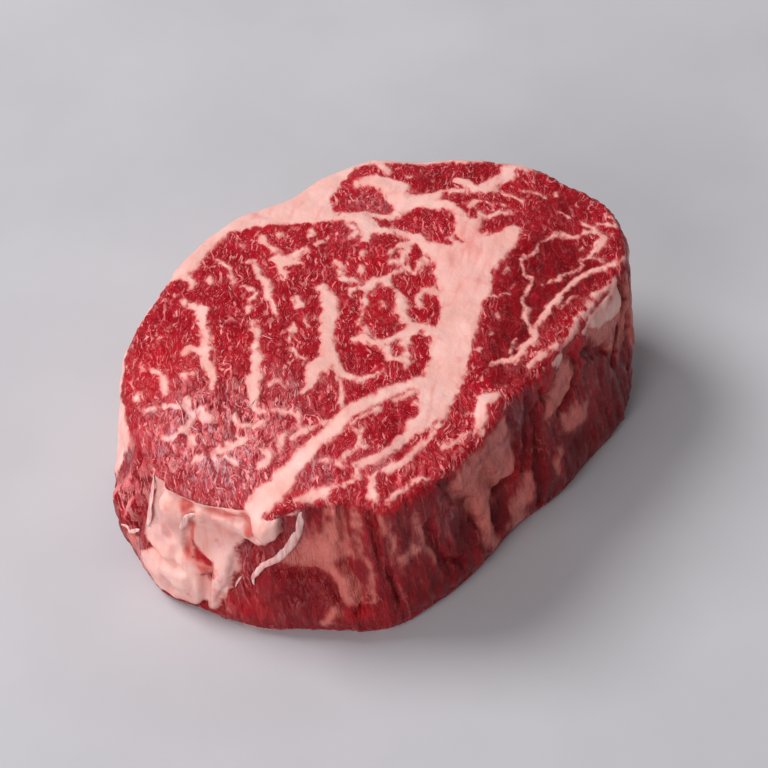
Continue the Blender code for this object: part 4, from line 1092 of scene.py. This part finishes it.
SPECULAR = 0.17
SUBSURFACE_RADIUS = (1.0, 0.35, 0.25)
SUBSURFACE_SCALE = 0.0015
MEAT_SUBSURFACE = 0.12
SINEW_SUBSURFACE = 0.15
MEAT_BUMP = (0.75, 0.36)  # strength, and height in millimetres
SINEW_BUMP = (0.4, 0.15)
NOISE_SPAN = (0.3, 0.7)  # where Blender's noise mostly lies, brought to -1 to 1


class Nodes:
    """A short way to build one material's node tree."""

    def __init__(self, name):
        self.material = bpy.data.materials.new(name)
        self.material.use_nodes = True
        self.tree = self.material.node_tree
        self.shader = self.tree.nodes["Principled BSDF"]
        metres = self.tree.nodes.new("ShaderNodeTexCoord").outputs["Object"]
        self.place = self.vector("MULTIPLY", metres, (1 / MM,) * 3)

    def put(self, socket, value):
        if isinstance(value, bpy.types.NodeSocket):
            self.tree.links.new(value, socket)
        else:
            socket.default_value = value

    def vector(self, operation, first, second):
        node = self.tree.nodes.new("ShaderNodeVectorMath")
        node.operation = operation
        self.put(node.inputs[0], first)
        self.put(node.inputs[1], second)
        return node.outputs[0]

    def math(self, operation, first, second=0.0):
        node = self.tree.nodes.new("ShaderNodeMath")
        node.operation = operation
        self.put(node.inputs[0], first)
        self.put(node.inputs[1], second)
        return node.outputs[0]

    def times(self, first, second):
        return self.math("MULTIPLY", first, second)

    def plus(self, first, second):
        return self.math("ADD", first, second)

    def attribute(self, name):
        node = self.tree.nodes.new("ShaderNodeAttribute")
        node.attribute_name = name
        return node.outputs["Fac"]

    def noise(self, size, detail=2.0, place=None, roughness=0.5, distortion=0.0):
        """Noise of about -1 to 1 that changes over size millimetres, one number or one an axis."""
        sizes = size if isinstance(size, tuple) else (size,) * 3
        node = self.tree.nodes.new("ShaderNodeTexNoise")
        self.put(node.inputs["Vector"], self.vector("DIVIDE", place or self.place, sizes))
        node.inputs["Scale"].default_value = 1.0
        node.inputs["Detail"].default_value = detail
        node.inputs["Roughness"].default_value = roughness
        node.inputs["Distortion"].default_value = distortion
        span = self.map_range(node.outputs["Fac"], *NOISE_SPAN, -1.0, 1.0)
        span.clamp = False
        return span.outputs["Result"]

    def map_range(self, value, low, high, start, end):
        node = self.tree.nodes.new("ShaderNodeMapRange")
        self.put(node.inputs["Value"], value)
        node.inputs["From Min"].default_value = low
        node.inputs["From Max"].default_value = high
        node.inputs["To Min"].default_value = start
        node.inputs["To Max"].default_value = end
        return node

    def step(self, value, low, high, start=0.0, end=1.0):
        """Runs smoothly from start to end as value goes from low to high."""
        node = self.map_range(value, low, high, start, end)
        node.interpolation_type = "SMOOTHSTEP"
        return node.outputs["Result"]

    def mix(self, factor, first, second):
        node = self.tree.nodes.new("ShaderNodeMix")
        node.data_type = "RGBA"
        self.put(node.inputs[0], factor)
        self.put(node.inputs[6], first)
        self.put(node.inputs[7], second)
        return node.outputs[2]

    def blend(self, factor, first, second):
        node = self.tree.nodes.new("ShaderNodeMix")
        self.put(node.inputs[0], factor)
        self.put(node.inputs[2], first)
        self.put(node.inputs[3], second)
        return node.outputs[0]

    def warp(self, place, size, amount):
        """The place pushed about by up to amount millimetres, by noise of that size."""
        node = self.tree.nodes.new("ShaderNodeTexNoise")
        self.put(node.inputs["Vector"], self.vector("DIVIDE", place, (size * 2.5, size * 2.5, size * 8)))
        node.inputs["Scale"].default_value = 1.0
        centred = self.vector("SUBTRACT", node.outputs["Color"], (0.5, 0.5, 0.5))
        return self.vector("ADD", place, self.vector("MULTIPLY", centred, (amount * 2,) * 3))

    def turned(self, place, degrees):
        """The place turned about z, which brings a level direction in line with x."""
        turn = self.tree.nodes.new("ShaderNodeVectorRotate")
        turn.rotation_type = "Z_AXIS"
        self.put(turn.inputs["Vector"], place)
        turn.inputs["Angle"].default_value = math.radians(degrees)
        return turn.outputs[0]

    def along_fibres(self):
        """The place turned and sheared as in the relief: x along the cut grain, z down the fibres."""
        split = self.tree.nodes.new("ShaderNodeSeparateXYZ")
        self.put(split.inputs[0], self.place)
        shift = self.tree.nodes.new("ShaderNodeCombineXYZ")
        self.put(shift.inputs[0], self.times(split.outputs[2], FIBRE_LEAN))
        return self.turned(self.vector("ADD", self.place, shift.outputs[0]), GRAIN_TURN)

    def bump(self, height, strength, distance_mm):
        """Fine relief on the shader's normal."""
        node = self.tree.nodes.new("ShaderNodeBump")
        node.inputs["Strength"].default_value = strength
        node.inputs["Distance"].default_value = distance_mm * MM
        self.put(node.inputs["Height"], height)
        self.put(self.shader.inputs["Normal"], node.outputs[0])

    def soft_flesh(self, weight):
        """Light that enters a little way, on the shader's own sockets."""
        self.shader.inputs["Specular IOR Level"].default_value = SPECULAR
        self.shader.inputs["Subsurface Weight"].default_value = weight
        self.shader.inputs["Subsurface Radius"].default_value = SUBSURFACE_RADIUS
        self.shader.inputs["Subsurface Scale"].default_value = SUBSURFACE_SCALE


def face_lean_colour(n, marks):
    """Fresh cut lean: bundles of several reds with painted shade in the gaps between them, the calm dark cap,
    torn strands, and marbling with painted glints over all.
    """
    strokes = marks["strokes"]
    broad = n.noise((9.0, 5.0, 12.0), 2.0, marks["fibres"])
    tone = n.plus(marks["tone"], n.times(broad, 0.35))
    colour = n.mix(n.step(tone, 0.1, 0.9, 0.0, 0.7), LEAN_RED, LEAN_MID)
    colour = n.mix(n.step(strokes, -0.1, -1.3, 0.0, 0.85), colour, LEAN_DEEP_AND_SHADE)
    # Painted shade in the gaps between the bundles
    colour = n.mix(n.step(marks["dome"], 0.3, 0.0, 0.0, 0.45), colour, LEAN_DEEP_AND_SHADE)
    colour = n.mix(n.step(strokes, 0.25, 1.2, 0.0, 0.6), colour, LEAN_PALE)
    # Fresher red; on the torn knob at the fat end this is painted light
    colour = n.mix(n.times(marks["bright"], 0.75), colour, LEAN_BRIGHT_AND_LIT)
    colour = n.mix(n.step(marks["edge"], 1.1, 0.0, 0.0, 0.36), colour, LEAN_PALE)
    # The cap's colour, which also stands for painted shade in the hollow by the near edge
    calm = n.step(marks["deep_red_and_shade"], 0.15, 0.7)
    colour = n.mix(n.times(calm, 0.9), colour, cap_colour(n, marks))
    colour = n.mix(n.times(marks["coarse"], 0.9), colour, torn_colour(n, marks))
    return marbled(n, marks, colour, calm)


def cap_colour(n, marks):
    """The cap muscle: darker and calmer than the eye, with the light and shade of long soft folds painted on.
    """
    folds = n.noise((9.0, 2.0, 14.0), 3.0, marks["fibres"], 0.6, 0.4)
    # Painted light and shade of the long folds: lighter red on their crests, dark in their troughs
    colour = n.mix(n.step(folds, 0.1, 0.8, 0.0, 0.7), CAP_RED, LEAN_RED)
    colour = n.mix(n.step(folds, -0.1, -0.7, 0.0, 0.85), colour, CAP_FOLD_SHADE)
    return n.mix(n.step(marks["strokes"], 0.2, 1.0, 0.0, 0.5), colour, LEAN_MID)


def torn_colour(n, marks):
    """Torn lean: strands from red to nearly white, with painted shade in the gaps between them."""
    strokes, strand, tone = marks["strokes"], marks["strand"], marks["strand_tone"]
    colour = n.mix(n.step(tone, 0.1, 0.55), LEAN_MID, LEAN_PALE)
    colour = n.mix(n.step(tone, 0.66, 0.9, 0.0, 0.9), colour, MARBLING_AND_GLINT)
    colour = n.mix(n.step(strokes, 0.1, 1.0, 0.0, 0.9), colour, MARBLING_AND_GLINT)
    colour = n.mix(n.step(strokes, -0.2, -1.1, 0.0, 0.9), colour, LEAN_RED)
    # Painted shade in the gaps between the strands
    colour = n.mix(n.step(strand, 0.42, 0.08), colour, LEAN_RED)
    return n.mix(n.step(strand, 0.12, 0.0, 0.0, 0.7), colour, LEAN_DEEP_AND_SHADE)


def marbled(n, marks, colour, calm):
    """The colour with threads of fat between the bundles, and pale flecks along the grain that are partly fat
    and partly painted glints.
    """
    amount = n.step(n.noise(6.5, 2.0), -0.7, 0.6, 0.35, 1.0)
    amount = n.times(amount, n.step(calm, 0.0, 1.0, 1.0, 0.12))
    amount = n.math("MAXIMUM", amount, marks["coarse"])
    threads = n.times(n.step(marks["dome"], 0.14, 0.0), n.step(n.noise(1.8, 2.0), 0.0, 0.8))
    # Flecks that are partly marbling and partly painted glints
    flecks_and_glints = n.math("MAXIMUM", n.step(marks["fine"], 0.45, 0.85), n.step(marks["dash"], 0.5, 0.8))
    pale = n.math("MAXIMUM", n.times(threads, 0.75), flecks_and_glints)
    fleck_and_glint_colour = n.mix(n.step(n.noise(2.4, 1.0), -1.0, 0.3), LEAN_PALE, MARBLING_AND_GLINT)
    return n.mix(n.times(n.times(pale, amount), 0.95), colour, fleck_and_glint_colour)


def side_lean_colour(n, marks):
    """The wall: fibres seen along their length, drier and browner, with pale and dark streaks, painted shade
    between the cords and in the hollows, and painted light along the lip.
    """
    long_streak = n.noise((1.3, 1.3, 15.0), 4.0, marks["fibres"], 0.6, 0.4)
    broad = n.noise((4.5, 4.5, 18.0), 3.0, marks["fibres"])
    colour = n.mix(n.step(broad, -0.5, 1.0, 0.0, 0.6), SIDE_RED, LEAN_DEEP_AND_SHADE)
    colour = n.mix(n.step(long_streak, 0.2, 1.5, 0.0, 0.75), colour, SIDE_PALE)
    colour = n.mix(n.step(long_streak, -0.1, -1.2, 0.0, 0.8), colour, SIDE_DEEP_AND_SHADE)
    # Painted shade between the cords
    colour = n.mix(n.step(marks["dome"], 0.25, 0.0, 0.0, 0.3), colour, SIDE_DEEP_AND_SHADE)
    sheets = n.math("ABSOLUTE", n.noise((2.6, 2.6, 26.0), 2.0, marks["fibres"], 0.5, 0.3))
    lines = n.times(n.step(sheets, 0.14, 0.02), n.step(n.noise(7.0, 2.0), -0.3, 0.6))
    colour = n.mix(n.times(lines, 0.6), colour, SIDE_PALE)
    # Painted shade in the hollows and folds, and darker lean
    colour = n.mix(n.times(marks["deep_red_and_shade"], 0.85), colour, SIDE_DEEP_AND_SHADE)
    # Painted light along the lip and on the knob, and fresher red in places
    colour = n.mix(n.times(marks["bright"], 0.85), colour, LEAN_BRIGHT_AND_LIT)
    tan = n.mix(n.step(n.noise(4.0, 3.0, None, 0.6), -0.4, 1.2, 0.0, 0.8), SIDE_TAN_FAT, SIDE_PALE)
    tan = n.mix(n.step(long_streak, 0.0, -1.3, 0.0, 0.5), tan, SIDE_RED)
    return n.mix(marks["tan"], colour, tan)


def fat_colour(n, marks):
    """Waxy fat: pale in the middle of a mass, pinker at its edge and in streaks, with blushes."""
    streak = n.noise((1.6, 7.0, 9.0), 3.0, n.turned(n.place, KERNEL_TURN))
    colour = n.mix(n.step(n.noise(7.0, 2.0), -0.9, 0.9), FAT_PALE, FAT_MAIN)
    colour = n.mix(n.step(streak, 0.0, 1.5, 0.0, 0.6), colour, FAT_PINK)
    spots = n.times(n.step(n.noise(4.2, 3.0), 0.4, 1.5), n.step(marks["face"], 1.0, 0.0, 0.35, 0.8))
    colour = n.mix(spots, colour, FAT_BLUSH)
    colour = n.mix(n.times(marks["blush"], n.step(streak, -1.0, 0.8, 0.3, 0.8)), colour, FAT_PINK)
    blood = n.times(n.step(marks["blush"], 0.4, 1.0, 0.0, 0.85), n.step(marks["face"], 0.6, 0.1))
    colour = n.mix(n.times(blood, n.step(streak, -1.2, 0.6, 0.55, 1.0)), colour, FAT_BLUSH)
    return n.mix(n.step(marks["edge"], -1.0, 0.1, 0.0, 0.75), colour, FAT_PINK)


def lean_marks(n):
    """What colours and bump share: the mesh's values, strokes along the grain and the fat's edge."""
    marks = {name: n.attribute(name) for name in PAINTED}
    fibres = n.along_fibres()
    swirled = n.warp(n.warp(fibres, 4.0, 5.0), 1.2, 1.0)
    marks["fibres"] = fibres
    marks["strokes"] = n.noise((1.9, 0.8, 8.0), 4.0, swirled, 0.62, 0.5)
    marks["fine"] = n.noise((1.3, 0.42, 4.0), 2.0, swirled, 0.5, 0.6)
    marks["dash"] = n.noise((3.6, 0.8, 9.0), 1.5, n.warp(fibres, 3.0, 3.0), 0.5, 0.3)
    ragged = n.plus(n.times(n.noise(0.9, 3.0), 0.22), n.times(marks["strokes"], 0.14))
    marks["edge"] = n.plus(marks["fat"], ragged)
    return marks


def meat_material():
    n = Nodes("raw_beef_finish")
    marks = lean_marks(n)
    fat = n.times(n.step(marks["edge"], 0.55, -0.4), n.step(marks["fat"], 1.0, 0.3))
    n.put(n.shader.inputs["Base Color"], meat_colour(n, marks, fat))
    wet = n.step(n.noise(3.0, 3.0), -0.9, 1.0, 0.14, 0.38)
    waxy = n.step(n.noise(3.0, 2.0), -1.0, 1.0, 0.34, 0.52)
    n.put(n.shader.inputs["Roughness"], n.blend(fat, wet, waxy))
    n.soft_flesh(MEAT_SUBSURFACE)
    n.bump(meat_height(n, marks, fat), *MEAT_BUMP)
    return n.material


def meat_colour(n, marks, fat):
    """Lean, fat over it, and a lilac film over both."""
    fresh_cut = n.math("MAXIMUM", marks["face"], marks["coarse"])
    lean = n.mix(fresh_cut, side_lean_colour(n, marks), face_lean_colour(n, marks))
    colour = n.mix(fat, lean, fat_colour(n, marks))
    wisps = n.noise((2.8, 1.1, 8.0), 3.0, marks["fibres"], 0.6, 1.0)
    return n.mix(n.times(marks["film"], n.step(wisps, -0.2, 1.0, 0.05, 0.7)), colour, FILM)


def meat_height(n, marks, fat):
    """Fine grain of the cut lean, fainter on the cap and rougher where torn, and the fat's soft waves."""
    cut = n.plus(n.times(marks["strokes"], 0.34), n.times(marks["fine"], 0.2))
    cut = n.plus(cut, n.times(n.noise(0.55, 2.0), 0.12))
    cut = n.times(cut, n.step(marks["deep_red_and_shade"], 0.2, 0.8, 1.0, 0.55))
    cut = n.times(cut, n.plus(1.0, marks["coarse"]))
    return n.blend(fat, cut, n.plus(0.5, n.times(n.noise(1.7, 3.0), 0.14)))


def sinew_material():
    n = Nodes("sinew_finish")
    streak = n.noise((0.8, 0.8, 4.0), 3.0)
    n.put(n.shader.inputs["Base Color"], n.mix(n.step(streak, -0.8, 1.2), SINEW_WHITE, SINEW_PINK))
    n.put(n.shader.inputs["Roughness"], n.step(n.noise(2.0), -1.0, 1.0, 0.28, 0.45))
    n.soft_flesh(SINEW_SUBSURFACE)
    n.bump(streak, *SINEW_BUMP)
    return n.material


# --------------------------------------------------------------------------------------------------
# Stage
# --------------------------------------------------------------------------------------------------


def make_floor():
    mesh = bpy.data.meshes.new("floor")
    corners = [(x * FLOOR_HALF, y * FLOOR_HALF, 0) for x, y in ((-1, -1), (1, -1), (1, 1), (-1, 1))]
    mesh.from_pydata(corners, [], [(0, 1, 2, 3)])
    floor = bpy.data.objects.new("floor", mesh)
    bpy.context.scene.collection.objects.link(floor)
    n = Nodes("floor_finish")
    cloud = n.step(n.noise(60.0, 4.0), -1.2, 1.2)
    n.put(n.shader.inputs["Base Color"], n.mix(cloud, FLOOR_DARK, FLOOR_LIGHT))
    n.shader.inputs["Roughness"].default_value = 0.75
    mesh.materials.append(n.material)


def camera_heading():
    return Vector((*CAMERA_HEADING, 0)).normalized()


def make_light(name, offset, size, power):
    """A round lamp that stands left, forward and up of the steak's middle and looks at it."""
    forward = camera_heading()
    left = Vector((-forward.y, forward.x, 0))
    middle = Vector((0, 0, 0.02))
    place = middle + left * offset[0] + forward * offset[1] + Vector((0, 0, offset[2]))
    data = bpy.data.lights.new(name, "AREA")
    data.shape = "DISK"
    data.size = size
    data.energy = power
    lamp = bpy.data.objects.new(name, data)
    bpy.context.scene.collection.objects.link(lamp)
    lamp.location = place
    lamp.rotation_euler = (middle - place).to_track_quat("-Z", "Y").to_euler()


def make_camera():
    data = bpy.data.cameras.new("camera")
    data.lens = CAMERA_LENS
    data.sensor_width = SENSOR_WIDTH
    data.clip_start = 0.01
    camera = bpy.data.objects.new("camera", data)
    bpy.context.scene.collection.objects.link(camera)
    target = Vector(CAMERA_TARGET_MM) * MM
    slope = math.radians(CAMERA_ELEVATION)
    back = -camera_heading() * math.cos(slope) + Vector((0, 0, math.sin(slope)))
    camera.location = target + back * CAMERA_DISTANCE
    camera.rotation_euler = (target - camera.location).to_track_quat("-Z", "Y").to_euler()
    bpy.context.scene.camera = camera


def make_stage():
    make_floor()
    make_camera()
    make_light("key", KEY_PLACE, KEY_SIZE, KEY_POWER)
    make_light("fill", FILL_PLACE, FILL_SIZE, FILL_POWER)
    world = bpy.data.worlds.new("world")
    bpy.context.scene.world = world
    world.use_nodes = True
    background = world.node_tree.nodes["Background"]
    background.inputs["Color"].default_value = (WORLD_GREY, WORLD_GREY, WORLD_GREY, 1)
    background.inputs["Strength"].default_value = WORLD_STRENGTH
    bpy.context.scene.view_settings.view_transform = "Standard"


def main():
    meat = make_meat()
    tree = meat_tree(meat)
    sinew = sinew_material()
    make_sinews(tree, sinew)
    make_loose_fibres(tree, sinew)
    make_stage()


main()
